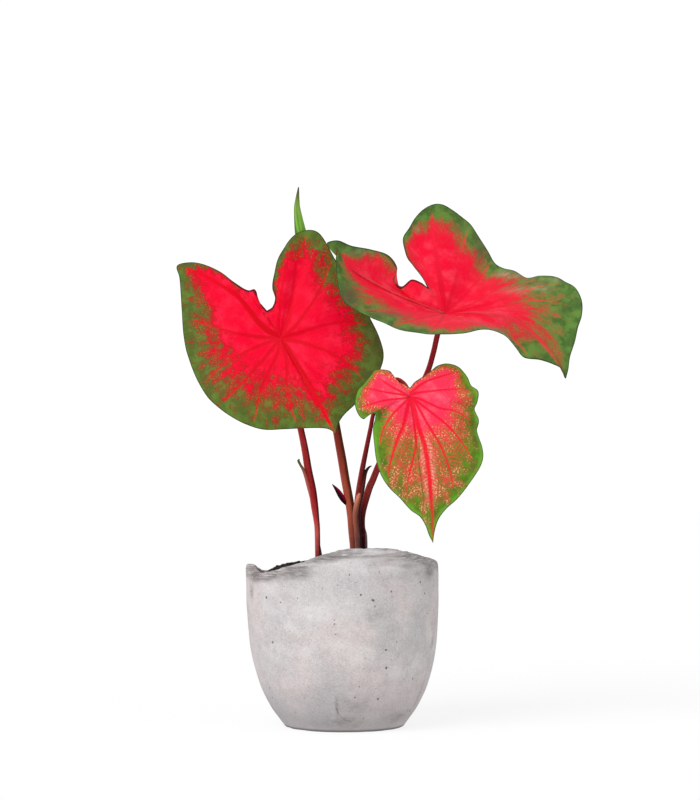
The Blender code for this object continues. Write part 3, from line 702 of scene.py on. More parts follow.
# Both halves of the margin run from the bottom of the sinus round a lobe to the apex. A row is a
# point in mm from the navel, how far the ray to it bows off the straight line in its middle, and
# the widths of the green margin and of the green and the mottled part together.
LEFT_NAVEL = (-44.9, -5, 282.4)
LEFT_BLADE_RIGHT_HALF = [
    (-9.7, 3, 20.3, 0, 0, 0, 0, 0), (-5.7, 4, 23.2, 0, 0, 0, 0, 0), (-3.6, 5, 30, 0, -1, 0, 0, 1),
    (-5.9, 6, 38.5, 2, -1, 0, 0, 2), (-4, 8, 49.8, 1.2, -2, 0, 1, 5), (-1.2, 9, 59.8, 0.4, -2, 0, 2, 7),
    (3, 11, 67, 0, -3, 0, 3, 9), (7.5, 12, 73.6, 0, -3, 0, 4, 11), (13.3, 13, 78, 0, -2, 0, 5, 12),
    (20, 14, 79.8, 0, -1, 0, 6, 13), (26, 14, 78.7, 0, -1, 0, 6, 20),
    (31, 13, 73.8, 0, -2, 0, 6, 22), (38.4, 11, 60.6, 0, -3, 0, 6, 24),
    (43.5, 9, 51, 0, -4, 0, 5, 24), (50.7, 7, 39.2, 0, -5, 0, 3, 16),
    (58.7, 5, 26, 0, -5, 0, 3, 10), (66, 3, 13.5, 0, -4, 0, 6, 15), (71.9, 1, 1, 0, -4, 0, 9, 20),
    (75, -2, -11.4, 0, -5, 0, 12, 24), (73.2, -5, -21.5, 0, -5, 0, 14, 26),
    (67.4, -9, -31.7, 0, -5, 0, 14, 28), (59.4, -14, -41.9, 0, -5, 0, 13, 30),
    (53.7, -18, -48.8, 0, -4, 0, 12, 26), (47.8, -22, -54.3, 0, -4, 0, 8, 16),
    (43.6, -26, -59.6, 0, -3, 0, 4, 8), (41.8, -29, -64.4, 0, -3, 0, 2, 5),
    (40.3, -31, -70.4, 0, -3, 0, 2, 4)]
LEFT_BLADE_LEFT_HALF = [
    (-9.7, 3, 20.3, 0, 0, 0, 0, 0), (-13.2, 4, 24.3, 0, 0, 0, 0, 0), (-17, 5, 28.6, 0, 0, 0, 0, 0),
    (-18.6, 6, 35.6, -3, -1, 0, 0, 1), (-23, 6.5, 35, -1, -1, 0, 0, 1), (-27.2, 7, 36.4, 0, -2, 0, 0, 1),
    (-35.2, 9, 41.9, 0, -2, 0, 0, 1), (-44, 12, 48.5, 0, -3, 0, 0, 2),
    (-55.4, 14, 54, 0, -2, 0, 1, 3), (-65.8, 14, 56.1, 0, -1, 0, 2, 6),
    (-76, 14, 53.6, 0, -1, 0, 5, 13), (-74.2, 14, 44.6, 0, -2, 0, 6, 16),
    (-73, 12, 31.3, 0, -3, 0, 7, 24), (-71.6, 9, 12.2, 0, -5, 0, 7, 28),
    (-69.7, 6, -4.7, 0, -5, 0, 6, 34), (-65.8, 2, -17.2, 0, -5, 0, 6, 34),
    (-60.5, -3, -29.6, 0, -6, 0, 6, 30), (-53, -8, -41.9, 0, -6, 0, 7, 32),
    (-44.9, -12, -49.9, 0, -6, 0, 8, 36), (-34.6, -15, -57.2, 0, -6, 0, 9, 40),
    (-22.9, -17, -63, 0, -6, 0, 8, 40), (-11.3, -18, -66.2, 0, -6, 0, 8, 40),
    (3.9, -20, -65.9, 0, -6, 0, 8, 40), (22, -24, -65.1, 0, -5, 0, 6, 34),
    (32.7, -27, -65.3, 0, -4, 0, 3, 12), (37.8, -29, -67.1, 0, -3, 0, 2, 5),
    (40.3, -31, -70.4, 0, -3, 0, 2, 4)]
# Main veins, as places across and up from the navel, in mm. The midrib, the widest, comes first.
LEFT_VEINS = [
    [(2.9, -5.8), (8, -12.4), (15.3, -24), (22.6, -37.1), (29.9, -49.5), (36.5, -62), (40, -69.5)],
    [(-10.2, 6.6), (-17.5, 13.8), (-24.8, 23.3), (-33, 32), (-46.6, 41), (-57.5, 47), (-68, 51)],
    [(4.4, 10.9), (7.3, 23.3), (9.5, 37.9), (11.6, 54.6), (15.3, 67), (19, 76)],
    [(15.3, 4.4), (26.2, 8), (37.1, 10.9), (50, 12), (62, 10)],
    [(15.3, -2.9), (26.2, -6.6), (37.1, -10.9), (51.7, -20.4), (60, -30)],
    [(9, 7), (19, 19), (28, 34), (34, 48), (37, 57)],
    [(-14, 1), (-30, 3), (-48, 8), (-64, 14)],
    [(-14, -5), (-28, -11.5), (-42, -20), (-53, -30)],
    [(-6.6, -9), (-18, -22), (-30, -35), (-40, -46)],
    [(-1.5, -11), (-8, -24), (-14, -38), (-16.5, -53), (-18, -60)],
    [(5, -16), (5, -32), (7, -48), (12, -60)],
    [(-1, 12), (0.5, 24), (1, 36), (3.5, 50), (7, 62)],
    [(-5, 8), (-8.5, 15)]]
MARGIN_STEP = 0.9
VEIN_STEP = 0.4
# The angle in degrees at which side veins leave a main vein, and their step in mm.
LEAVING_ANGLE = 52
SIDE_STEP = 0.7


def closed_margin(right_half, left_half):
    """Both halves of a margin as one ring, without the points that they share."""
    right = smooth_curve(right_half, MARGIN_STEP)
    left = smooth_curve(left_half, MARGIN_STEP)
    return np.vstack([right, left[-2:0:-1]])


def soften(values, spread):
    """Values round a closed margin, each averaged with its neighbours."""
    reach = np.arange(-3 * spread, 3 * spread + 1)
    weights = np.exp(-0.5 * (reach / spread) ** 2)
    wrapped = np.take(values, np.arange(-3 * spread, len(values) + 3 * spread), mode="wrap")
    return np.convolve(wrapped, weights / weights.sum(), "valid")


def tree_of(places):
    """A search tree of places that have two or three coordinates."""
    tree = kdtree.KDTree(len(places))
    for i, spot in enumerate(places):
        tree.insert((*spot, 0) if len(spot) == 2 else spot, i)
    tree.balance()
    return tree


def nearest(tree, places):
    """The distance from each place to the nearest point of the tree, and that point's number."""
    found = [tree.find((*spot, 0) if len(spot) == 2 else spot) for spot in places]
    return np.array([hit[2] for hit in found]), np.array([hit[1] for hit in found])


def from_margin(places, margin_flat, values):
    """At each place, a mean of the values at the margin, in which the nearest margin counts most."""
    reach = 6.0
    found = []
    for some in np.array_split(places, 80):
        gaps = np.linalg.norm(some[:, None] - margin_flat[None], axis=2)
        weights = np.exp((gaps.min(axis=1)[:, None] - gaps) / reach)
        found.append(weights @ values / weights.sum(axis=1)[:, None])
    return np.vstack(found)


def grow_side_veins(mains, margin_flat, spacing):
    """Side veins: each leaves a main vein at an angle, bends outwards, and stops short of the next
    main vein or of the margin. The leaf is laid flat for this."""
    samples = np.vstack(mains)
    owner = np.concatenate([np.full(len(vein), i) for i, vein in enumerate(mains)])
    main_tree = tree_of(samples)
    edge_tree = tree_of(margin_flat)
    grown = []
    for i, vein in enumerate(mains):
        lengths = np.concatenate([[0], np.cumsum(np.linalg.norm(np.diff(vein, axis=0), axis=1))])
        for side in (-1, 1):
            reach = 9 + (2.5 if side > 0 else 0)
            while reach < lengths[-1] - 4:
                k = int(np.searchsorted(lengths, reach))
                spot = vein[k]
                ahead = vein[min(k + 3, len(vein) - 1)] - vein[k - 3]
                heading = math.atan2(ahead[1], ahead[0]) + side * math.radians(LEAVING_ANGLE)
                path = [spot]
                for step in range(70):
                    spot = spot + SIDE_STEP * np.array((math.cos(heading), math.sin(heading)))
                    outward = math.atan2(spot[1], spot[0])
                    bend = (outward - heading + math.pi) % (2 * math.pi) - math.pi
                    heading += 0.035 * bend
                    hit, number, gap = main_tree.find((*spot, 0))
                    edge_gap = edge_tree.find((*spot, 0))[2]
                    if edge_gap < 1.8 or (step > 3 and gap < 0.9 and owner[number] != i):
                        break
                    path.append(spot)
                if len(path) > 4:
                    grown.append(np.array(path))
                reach += spacing * (0.85 + 0.3 * noise.random())
    return grown


def press_flat(margin, surface):
    """Flat places for a blade's points: each ray keeps its length and nearly its direction."""
    rays = margin[:, :3]
    unit = rays / np.linalg.norm(rays, axis=1)[:, None]
    turns = np.arccos(np.clip((unit * np.roll(unit, -1, axis=0)).sum(1), -1, 1))
    angle = np.concatenate([[0], np.cumsum(turns[:-1])]) * 2 * math.pi / turns.sum()
    steps = np.diff(np.concatenate([np.zeros_like(surface[:1]), surface]), axis=0)
    reach = np.cumsum(np.linalg.norm(steps, axis=2), axis=0)
    return reach[:, :, None] * np.stack([np.cos(angle), np.sin(angle)], axis=1)[None]


def soft_spots(places, spots):
    """A sum of round soft spots: across, up, half width, half height and how strong."""
    total = np.zeros(len(places))
    for across, up, wide, high, amount in spots:
        gap = ((places[:, 0] - across) / wide) ** 2 + ((places[:, 2] - up) / high) ** 2
        total += amount * np.exp(-gap)
    return total


def add_blade(name, node, navel, right_half, left_half, veins, patches, skins, spacing=5.5, breadth=2,
              flames=4.2, rings=74, sheen_and_shade_spots=(), faint=0.7):
    """A blade as thin leaf tissue: rays from the navel to a fine margin, veins sunk into the upper side,
    tissue swelling between them, and ribs on the lower side. A patch is a soft spot, across and up from the
    navel with its half sizes, that is so much greener, or redder below 0. A sheen and shade spot is such a
    spot that is pale with painted sheen where the blade catches the light, and dark with painted shade below
    0. Spacing is that of the side veins, breadth how broad the main veins are, flames how far their glow
    reaches, and faint how clear the lesser ones are."""
    noise.seed_set(5)
    margin = closed_margin(right_half, left_half)
    count = len(margin)
    t = np.arange(1, rings + 1) / rings
    rays, bows = margin[:, :3], margin[:, 3:6]
    facing = np.linalg.svd(rays - rays.mean(0), full_matrices=False)[2][2]
    length = np.linalg.norm(rays, axis=1)
    sudden = rays @ facing - length * soften(rays @ facing / length, 12)
    # A ray bows most past its middle, and the waves of the margin fade quickly on the way in.
    bow = t * (1 - t) * (2 + 3.375 * t)
    surface = t[:, None, None] * rays[None] + bow[:, None, None] * bows[None]
    surface += (t * (t ** 3 - 1))[:, None, None] * (sudden[:, None] * facing)[None]
    flat = np.vstack([press_flat(margin, surface).reshape(-1, 2), (0, 0)])
    upper = np.vstack([surface.reshape(-1, 3), (0, 0, 0)])
    middle = len(upper) - 1
    faces = ring_faces(rings, count)
    faces += [[middle, (i + 1) % count, i] for i in range(count)]
    draft = bpy.data.meshes.new("draft")
    draft.from_pydata(upper.tolist(), [], faces)
    normals = np.array([vertex.normal for vertex in draft.vertices])
    bpy.data.meshes.remove(draft)
    # The listed main veins are laid onto the surface and pressed flat with it.
    front_tree = tree_of(upper[:, [0, 2]])
    mains = []
    for vein in veins:
        spots = [flat[front_tree.find((*spot, 0))[1]] for spot in vein]
        mains.append(smooth_curve([(0, 0), *spots], VEIN_STEP))
    ring = np.arange(middle - count, middle)
    sides = grow_side_veins(mains, flat[ring], spacing)
    # The midrib is the widest main vein, then the second one. Each thins out towards its end.
    sizes = [1.3, 1] + [0.7] * (len(mains) - 2)
    taper = np.concatenate([np.linspace(size, 0.35 * size, len(vein)) for size, vein in zip(sizes, mains)])
    clear = np.concatenate([np.full(len(vein), max(faint, size >= 1)) for size, vein in zip(sizes, mains)])
    steps = [np.linalg.norm(np.diff(vein, axis=0, prepend=[vein[0]]), axis=1) for vein in mains]
    along = np.concatenate([np.cumsum(step) for step in steps])
    main_gap, main_number = nearest(tree_of(np.vstack(mains)), flat)
    side_gap = nearest(tree_of(np.vstack(sides)), flat)[0]
    width = taper[main_number]
    edge = nearest(tree_of(flat[ring]), flat)[0]
    band, mottle = from_margin(flat, flat[ring], margin[:, 6:8]).T
    vein = fade(main_gap, 1.8 * breadth * width, 0.6 * breadth * width)
    side_vein = fade(side_gap, 0.65, 0.1) * fade(edge, 0.6, 3)
    flame = np.exp(-(main_gap / flames) ** 2 / width)
    beside = fade(main_gap, 8.5 * width - 1, 3 * width - 0.5) * fade(main_gap, 0.8, 2.2)
    beside *= 0.35 + 0.65 * (main_number < len(mains[0]))
    shift = soft_spots(upper, patches)
    # Spots of painted sheen, and of painted shade below 0.
    painted_sheen_and_shade = soft_spots(upper, sheen_and_shade_spots)
    quilt = fade(np.minimum(main_gap, side_gap), 0, 2.6)
    swell = fade(main_gap, 0, 9)
    out = np.append(np.repeat(t, count), 0)
    spots = np.column_stack([flat, np.zeros(len(flat))])
    waves = cloud(spots, 18, 2, 4)
    lift = 0.1 * quilt + 0.4 * swell * out - 0.05 * vein * width - 0.03 * side_vein
    lift += 0.5 * waves * out
    upper = upper + normals * lift[:, None]
    rib = np.sqrt(np.clip(1 - (main_gap / (1.25 * width)) ** 2, 0, 1)) * width
    thick = 0.42 - 0.16 * fade(edge, 2, 0) + 0.95 * rib + 0.22 * side_vein
    lower = upper - normals * thick[:, None]
    points = np.vstack([upper, lower]) + np.array(navel)
    below = len(upper)
    beyond = np.roll(ring, -1)
    rim = np.stack([ring, beyond, beyond + below, ring + below], axis=1).tolist()
    under = [[i + below for i in face[::-1]] for face in faces]
    side_of = [0] * (len(faces) + len(rim)) + [1] * len(under)
    reach = np.linalg.norm(flat, axis=1)
    flow = np.column_stack([flat / np.maximum(reach, 0.01)[:, None], reach / 100])
    marks = {"edge": edge, "band": band, "mottle": mottle, "vein": vein * clear[main_number],
             "side_vein": side_vein, "flame": flame, "shift": shift, "flow": flow, "flat": spots,
             "beside": beside, "rows": along[main_number] - 0.6 * main_gap, "painted_sheen_and_shade": painted_sheen_and_shade}
    marks = {key: np.concatenate([values, values]) for key, values in marks.items()}
    blade = new_piece(name, points, faces + rim + under, marks, side_of)
    for skin in skins:
        blade.data.materials.append(skin)
    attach(blade, "root")
    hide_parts(node)


def centred(where, scale, detail=2.0, rough=0.5):
    """Noise graded to run from -0.5 to 0.5."""
    return grade(grain(where, scale, detail, rough), 0.3, 0.7, -0.5, 0.5)


def make_leaf_pattern():
    """The colouring of a leaf. Ripeness runs from below 0 in the red heart through 0 to 1 in the
    mottled part to above 1 in the green margin, in blotches and in streaks away from the navel.
    Vein and Far colour a main vein near the navel and far from it. The amounts say how strongly
    each marking shows: Net is the pale tissue beside the veins and the bright edge, Flame and Rows
    the red that spreads round the veins and slants off them, and Line the main veins."""
    colours = ("Heart", "Glow", "Deep", "Rust", "Olive", "Green", "Fresh", "Vein", "Far", "Cream")
    amounts = ("Streaks", "Net", "Side Veins", "Flame", "Creaminess", "Grain", "Rows", "Line")
    inputs = {**dict.fromkeys(colours, "Color"), **dict.fromkeys(amounts, "Float")}
    tree, given, out = new_group("leaf_pattern", inputs, {"Color": "Color", "Height": "Float"})
    edge, band, mottle = (mark(tree, name) for name in ("edge", "band", "mottle"))
    vein, side_vein, flame = (mark(tree, name) for name in ("vein", "side_vein", "flame"))
    flow, flat = mark(tree, "flow", "Vector"), mark(tree, "flat", "Vector")
    broad = centred(stretch(flow, (10, 10, 3.4)), 1.0, 3)
    thin = centred(stretch(flow, (24, 24, 12)), 1.0, 3, 0.6)
    blots = centred(flat, 0.2, 3, 0.6)
    drift = centred(flat, 0.06)
    fine = centred(flat, 0.8, 3, 0.65)
    edges = place(tree, "ShaderNodeTexVoronoi", {"Vector": flat, "Scale": 0.6}, feature="DISTANCE_TO_EDGE")
    width = sums("MAXIMUM", sums("SUBTRACT", mottle, band), 4.0)
    even = sums("DIVIDE", sums("SUBTRACT", mottle, edge), width)
    rough = sums("MULTIPLY_ADD", blots, 0.75, times(fine, 0.2))
    wander = sums("MULTIPLY_ADD", thin, 0.5, times(drift, 0.4))
    wander = sums("MULTIPLY_ADD", broad, 0.55, sums("MULTIPLY_ADD", rough, given["Grain"], wander))
    ripe = sums("ADD", sums("MULTIPLY_ADD", wander, given["Streaks"], even), mark(tree, "shift"))
    # The ripeness before the red round the veins is taken off it.
    unburnt = ripe
    ripe = sums("SUBTRACT", ripe, times(flame, given["Flame"]))
    patches = grade(grain(flat, 0.07, 3, 0.55), 0.42, 0.68, 0.0, 0.8)
    colour = mix(patches, given["Heart"], given["Glow"])
    dusk = sums("MULTIPLY_ADD", sums("ADD", blots, fine), 0.7, times(ripe, 0.35))
    colour = mix(grade(dusk, -0.5, 0.5, 0.0, 0.75), colour, given["Deep"])
    near = grade(place(tree, "ShaderNodeSeparateXYZ", {0: flow}).outputs[2], 0.9, 0.05)
    halo = times(flame, sums("MULTIPLY_ADD", near, 0.6, 0.15))
    colour = mix(halo, colour, given["Vein"])
    colour = mix(grade(ripe, -0.6, 0.25), colour, given["Deep"])
    colour = mix(grade(ripe, 0.0, 0.55), colour, given["Rust"])
    colour = mix(grade(ripe, 0.35, 0.85), colour, given["Olive"])
    lush = mix(grade(grain(flat, 0.12, 4, 0.6), 0.38, 0.66), given["Green"], given["Fresh"])
    lush = mix(grade(fine, 0.0, 0.5, 0.0, 0.35), lush, given["Olive"])
    outermost = times(grade(edge, 4.0, 0.5, 0.0, 0.9), given["Net"])
    lush = mix(outermost, lush, paint(112, 172, 52))
    colour = mix(grade(ripe, 0.7, 1.15), colour, lush)
    inside = times(grade(ripe, -0.1, 0.3), grade(ripe, 1.1, 0.7))
    clouds = grade(grain(flat, 0.16, 3, 0.6), 0.38, 0.58)
    flecks = grain(flat, 0.95, 2, 0.6)
    freckles = times(clouds, inside, given["Creaminess"], grade(flame, 0.6, 0.15, 0.25, 1.0))
    dots = times(freckles, grade(flecks, 0.48, 0.4))
    colour = mix(dots, colour, given["Olive"])
    dots = times(freckles, grade(flecks, 0.52, 0.62))
    colour = mix(dots, colour, given["Cream"])
    uncertain = grade(sums("ADD", blots, fine), -0.6, 0.0)
    beside = times(mark(tree, "beside"), grade(unburnt, 0.0, 0.5))
    beside = times(beside, times(grade(even, 1.0, 0.7), uncertain))
    tint = mix(grade(flecks, 0.45, 0.62, 0.0, 0.8), paint(252, 132, 140), given["Cream"])
    colour = mix(times(beside, given["Net"]), colour, tint)
    rows = sums("MULTIPLY_ADD", mark(tree, "rows"), 2.5, sums("MULTIPLY_ADD", drift, 5.0, blots))
    rows = times(grade(sums("COSINE", rows), -0.1, 0.8), given["Rows"],
                 grade(even, 1.0, 0.7), grade(unburnt, 0.0, 0.4, 0.25, 1.0),
                 grade(grain(flat, 0.35, 2), 0.35, 0.55, 0.3, 1.0))
    colour = mix(rows, colour, mix(grade(ripe, 0.2, 0.6), given["Vein"], given["Rust"]))
    plain = grade(even, 1.35, 0.8, 0.3, 1.0)
    side_mask = times(side_vein, given["Side Veins"], grade(even, 1.0, 0.6, 0.08, 1.0))
    colour = mix(side_mask, colour, given["Vein"])
    line = times(vein, plain, given["Line"])
    colour = mix(line, colour, mix(near, given["Far"], given["Vein"]))
    # Painted sheen where this mark is above 0, and painted shade where it is below 0.
    painted_sheen_and_shade = mark(tree, "painted_sheen_and_shade")
    painted_sheen = times(grade(painted_sheen_and_shade, 0.0, 1.0), grade(thin, -0.35, 0.35, 0.3, 1.0))
    colour = mix(painted_sheen, colour, paint(208, 168, 150))
    colour = mix(grade(painted_sheen_and_shade, 0.0, -1.0), colour, paint(88, 78, 58))
    speckle = grade(grain(flat, 1.6, 2, 0.6), 0.35, 0.65, 0.0, 0.3)
    colour = mix(speckle, colour, paint(206, 206, 206), "MULTIPLY")
    rim = mix(grade(even, 0.3, 1.0), paint(74, 2, 20), paint(44, 58, 32))
    turned = sums("SUBTRACT", grade(even, 0.3, 0.0, 1.0, 1.7), edge)
    colour = mix(grade(turned, 0.0, 0.75, 0.0, 0.85), colour, rim)
    tree.links.new(colour, out["Color"])
    height = sums("MULTIPLY_ADD", fine, 0.5, grade(edges.outputs[0], 0.0, 0.2))
    tree.links.new(height, out["Height"])
    return tree


leaf_pattern = make_leaf_pattern()


def make_leaf_skin(name, roughness, sheen, paler, **colours):
    """One side of a blade. Paler is how much of the underside's dull, pale coat covers the pattern."""
    made, tree, shader = new_material(name, roughness)
    pattern = tree.nodes.new("ShaderNodeGroup")
    pattern.node_tree = leaf_pattern
    for key, value in colours.items():
        value = paint(*value) if isinstance(value, tuple) else value
        pattern.inputs[key.replace("_", " ").title()].default_value = value
    colour = mix(paler, pattern.outputs["Color"], paint(132, 96, 84))
    if paler:
        colour = mix(times(mark(tree, "vein"), 0.6), colour, paint(170, 80, 72))
    tree.links.new(colour, shader.inputs["Base Color"])
    roughen(shader, pattern.outputs["Height"], 0.2, 0.0002)
    shader.inputs["Specular IOR Level"].default_value = 0.06
    shader.inputs["Sheen Weight"].default_value = sheen
    shader.inputs["Sheen Roughness"].default_value = 0.35
    return made


def make_leaf_skins(name, roughness, sheen, sheen_below, colours):
    """The materials of a blade's upper side and of its duller underside."""
    return [make_leaf_skin(name + "_top", roughness, sheen, 0.0, **colours),
            make_leaf_skin(name + "_underside", 0.6, sheen_below, 0.3, **colours)]


# Soft spots on the left leaf: across and up from the navel, half sizes, and how much greener.
LEFT_PATCHES = [
    (-20, -34, 3.5, 11, -0.45), (-49, -23, 3, 8, -0.35), (-62, -8, 7, 12, 0.25), (-30, -44, 4, 8, 0.2),
    (-8, -52, 4, 8, 0.2), (8, -46, 4, 7, -0.3), (45, -24, 8, 5, -0.3), (38, 30, 6, 9, 0.2),
    (34, -58, 4, 9, -0.25), (-52, 24, 12, 10, 0.5), (50, 4, 10, 8, 0.3)]
RED_LEAF = dict(
    heart=(244, 0, 48), glow=(252, 34, 68), deep=(204, 8, 34), rust=(156, 52, 34), olive=(106, 84, 38),
    green=(80, 100, 41), fresh=(95, 126, 49), vein=(210, 0, 22), far=(228, 0, 30), cream=(196, 140, 52),
    streaks=1.0, net=0.0, side_veins=0.2, flame=0.5, creaminess=0.45, grain=1.0, rows=0.08, line=1.0)
red_leaf = make_leaf_skins("red_leaf", 0.5, 0.02, 0.1, RED_LEAF)
# A faint painted sheen lightens the right side of this blade, where it turns from the light.
add_blade("left_blade", "leaf_left_blade", LEFT_NAVEL, LEFT_BLADE_RIGHT_HALF, LEFT_BLADE_LEFT_HALF,
          LEFT_VEINS, LEFT_PATCHES, red_leaf, sheen_and_shade_spots=[(68, -4, 12, 34, 0.14)])

# The right leaf
# The same kind of blade, larger and held nearly level: its back lobe stands up, its front hangs
# towards the camera, and its apex turns down at the right.
RIGHT_NAVEL = (75, -4, 300.1)
RIGHT_BLADE_RIGHT_HALF = [
    (-12.5, 10, 19.3, 0, 0, 0, 0, 0), (-15.7, 14, 26, 0, 0, 0, 0, 0),
    (-21.4, 20, 35, 1, 1, -1, 0.5, 2), (-26.4, 24, 40.6, 3, 2, -2, 1, 3),
    (-29, 29, 48.2, 3, 3, -3, 1.5, 4), (-30, 34, 57.3, 3, 4, -3, 2, 6),
    (-25.4, 38, 65.1, 1.5, 4, -4, 4, 11), (-21, 42, 72.6, 0, 4, -4, 7, 16),
    (-14.9, 46, 79.2, 0, 4, -4, 9, 21), (-7.3, 49, 83.3, 0, 4, -4, 11, 25),
    (-0.5, 50, 83.4, 0, 4, -4, 12, 27), (6.2, 50, 80, 0, 4, -4, 12, 28),
    (14.3, 49, 74, 0, 4, -4, 10, 26), (21, 47, 68.1, 0, 4, -4, 9, 22),
    (26.9, 44, 58.6, 0, 4, -4, 8, 20), (33.4, 41, 48, 0, 4, -4, 7, 18),
    (38.4, 37, 39, 0, 3, -3, 5, 15), (44.9, 33, 34.6, 0, 3, -2, 4, 13),
    (52.7, 29, 32.4, 0, 2, -1, 4, 18), (61.2, 24, 27.2, 0, 2, 0, 6, 26),
    (70.4, 18, 28.5, 0, 2, 0, 12, 34), (81.7, 10, 27.4, 0, 2, 0, 18, 46),
    (88.5, 5, 23.5, 0, 2, 0, 22, 54), (95.4, 0, 18.6, 0, 2, 0, 26, 62),
    (99.4, -5, 9.3, 0, 2, 2, 28, 66), (99, -10, -1, 0, 2, 5, 28, 66),
    (95.7, -15, -10.6, 0, 3, 9, 24, 60), (93.1, -19, -20.8, 0, 3, 14, 18, 50),
    (89.3, -23, -31.7, 0, 4, 19, 10, 34), (87.9, -26, -40.3, 0, 4, 22, 6, 16),
    (86, -28, -47.2, 0, 4, 23, 3, 6)]
RIGHT_BLADE_LEFT_HALF = [
    (-12.5, 10, 19.3, 0, 0, 0, 0, 0), (-18, 9, 23.4, 0, 0, 0, 0, 0),
    (-24.6, 8, 25.2, 0, 0, 0, 0, 1), (-31.6, 5, 20, 0, 0, -1, 0, 1),
    (-37.8, 6, 25.1, -2, 0, -4, 0, 1), (-34.6, 8, 33.8, -9, 0, -6, 0.5, 2),
    (-41.4, 7, 43.3, -10, 0, -9, 1.5, 4), (-54.6, 3, 47.3, -8, 0, -9, 3, 6),
    (-67.7, -4, 49.4, -7, 0, -9, 3, 7), (-77.9, -10, 53, -6, 0, -8, 4, 9),
    (-86, -15, 51, -5, 0, -6, 5, 9), (-82.6, -14, 47.4, -6, 0, -4, 4, 7),
    (-78.4, -13, 47, -8, 0, -5, 4, 7), (-79.7, -16, 40, -6, 0, -4, 5, 10),
    (-79.3, -20, 32.5, -4, 0, -2, 6, 18), (-77.8, -25, 18, 0, 0, 1, 7, 28),
    (-74.6, -29, 9.1, 0, 0, 2, 8, 34), (-67.7, -34, 2.9, 0, 0, 2, 9, 36),
    (-54.9, -40, -4.1, 0, 0, 3, 10, 34), (-44.3, -45, -8.3, 0, 0, 3, 10, 30),
    (-33, -49, -13.2, 0, 0, 3, 8, 26), (-19.6, -53, -15.6, 0, 0, 3, 6, 22),
    (-1.9, -56, -16.6, 0, 0, 3, 2, 12), (10.9, -54, -15.5, 0, 0, 3, 1, 8),
    (23.1, -51, -13, 0, 0, 3, 2, 10), (33.9, -47, -13.6, 0, 0, 3, 3, 14),
    (43.5, -42, -18.5, 0, 0, 6, 4, 18), (49.4, -38, -25.5, 0, 0, 12, 4, 20),
    (55.3, -36, -32.2, 0, 0, 16, 6, 28), (66.9, -33, -34, 0, 1, 18, 8, 36),
    (76.4, -31, -37.2, 0, 2, 20, 8, 30), (83, -29, -40.4, 0, 3, 21, 4, 12),
    (86, -28, -47.2, 0, 4, 23, 3, 6)]
RIGHT_VEINS = [
    [(25.6, -1), (43.8, -2), (61.5, -12), (75.5, -28.6), (82, -38), (85.5, -46)],
    [(-1.5, 14), (-3.7, 32), (-5.5, 47), (-7.5, 63), (-8, 76)],
    [(7.4, 21.5), (12, 38), (15, 52), (18, 64)],
    [(-6, 17.5), (-12.6, 34), (-19, 47), (-24, 58)],
    [(-14.7, 6.5), (-29.4, 14), (-45, 25), (-60, 34), (-74, 43)],
    [(-11, 3.4), (-33, 8.7), (-51, 14), (-68, 20)],
    [(-11, 1), (-29, 1.5), (-46, 1.6), (-60, 2)],
    [(10, 9), (22, 22), (32, 35), (36, 40)],
    [(22, 9), (38, 18), (52, 25)],
    [(26, 6), (48, 13), (68, 20), (84, 22)],
    [(26, 3), (48, 7), (66, 10), (88, 6)],
    [(9, -3), (22, -7), (32, -12)],
    [(-3, -5), (-9, -12), (-12, -15)],
    [(-9, -2), (-24, -6), (-38, -9)],
    [(14, -1), (34, -6), (50, -20), (58, -30)]]
# Soft spots, as on the left leaf.
RIGHT_PATCHES = [
    (31, 38, 5, 6, 0.15), (86, 4, 14, 9, -0.15), (66, -8, 9, 5, 0.3), (60, -22, 9, 6, 0.35),
    (90, -22, 5, 12, 0.4), (70, 16, 9, 4, 0.3), (-6, 70, 14, 6, -0.25), (76, 2, 10, 4, -0.25),
    (72, -24, 5, 6, -0.3), (80, -34, 4, 6, -0.3), (-25, 50, 7, 12, -0.6), (50, 25, 10, 5, -0.25)]
# Painted sheen: pale streaks where the blade arches into the light, and painted shade in dusky places below
# 0, in the same form.
RIGHT_SHEEN_AND_SHADE = [
    (50, 30, 15, 4, 0.5), (50, 17, 12, 4, 0.3), (70, 19, 14, 3, 0.35), (78, 25, 12, 3, 0.3),
    (-19.5, 64, 4, 4, 0.3), (-62, 45, 12, 3, 0.3), (-70, 12, 9, 12, -0.7), (28, 50, 7, 14, -0.6),
    (-40, -1, 16, 4, -0.45), (12, 66, 10, 6, -0.35)]
LEVEL_LEAF = dict(
    RED_LEAF, heart=(246, 14, 54), glow=(252, 62, 84), deep=(226, 40, 54), rust=(176, 72, 52),
    olive=(132, 112, 56), green=(66, 104, 46), fresh=(96, 138, 60), cream=(206, 170, 88), streaks=0.9,
    creaminess=0.22, flame=0.9, grain=0.45, vein=(216, 0, 38), far=(246, 34, 62), line=0.85)
level_leaf = make_leaf_skins("level_leaf", 0.45, 0.15, 0.2, LEVEL_LEAF)
add_blade("right_blade", "leaf_right_blade", RIGHT_NAVEL, RIGHT_BLADE_RIGHT_HALF, RIGHT_BLADE_LEFT_HALF,
          RIGHT_VEINS, RIGHT_PATCHES, level_leaf, flames=4, rings=64, sheen_and_shade_spots=RIGHT_SHEEN_AND_SHADE)

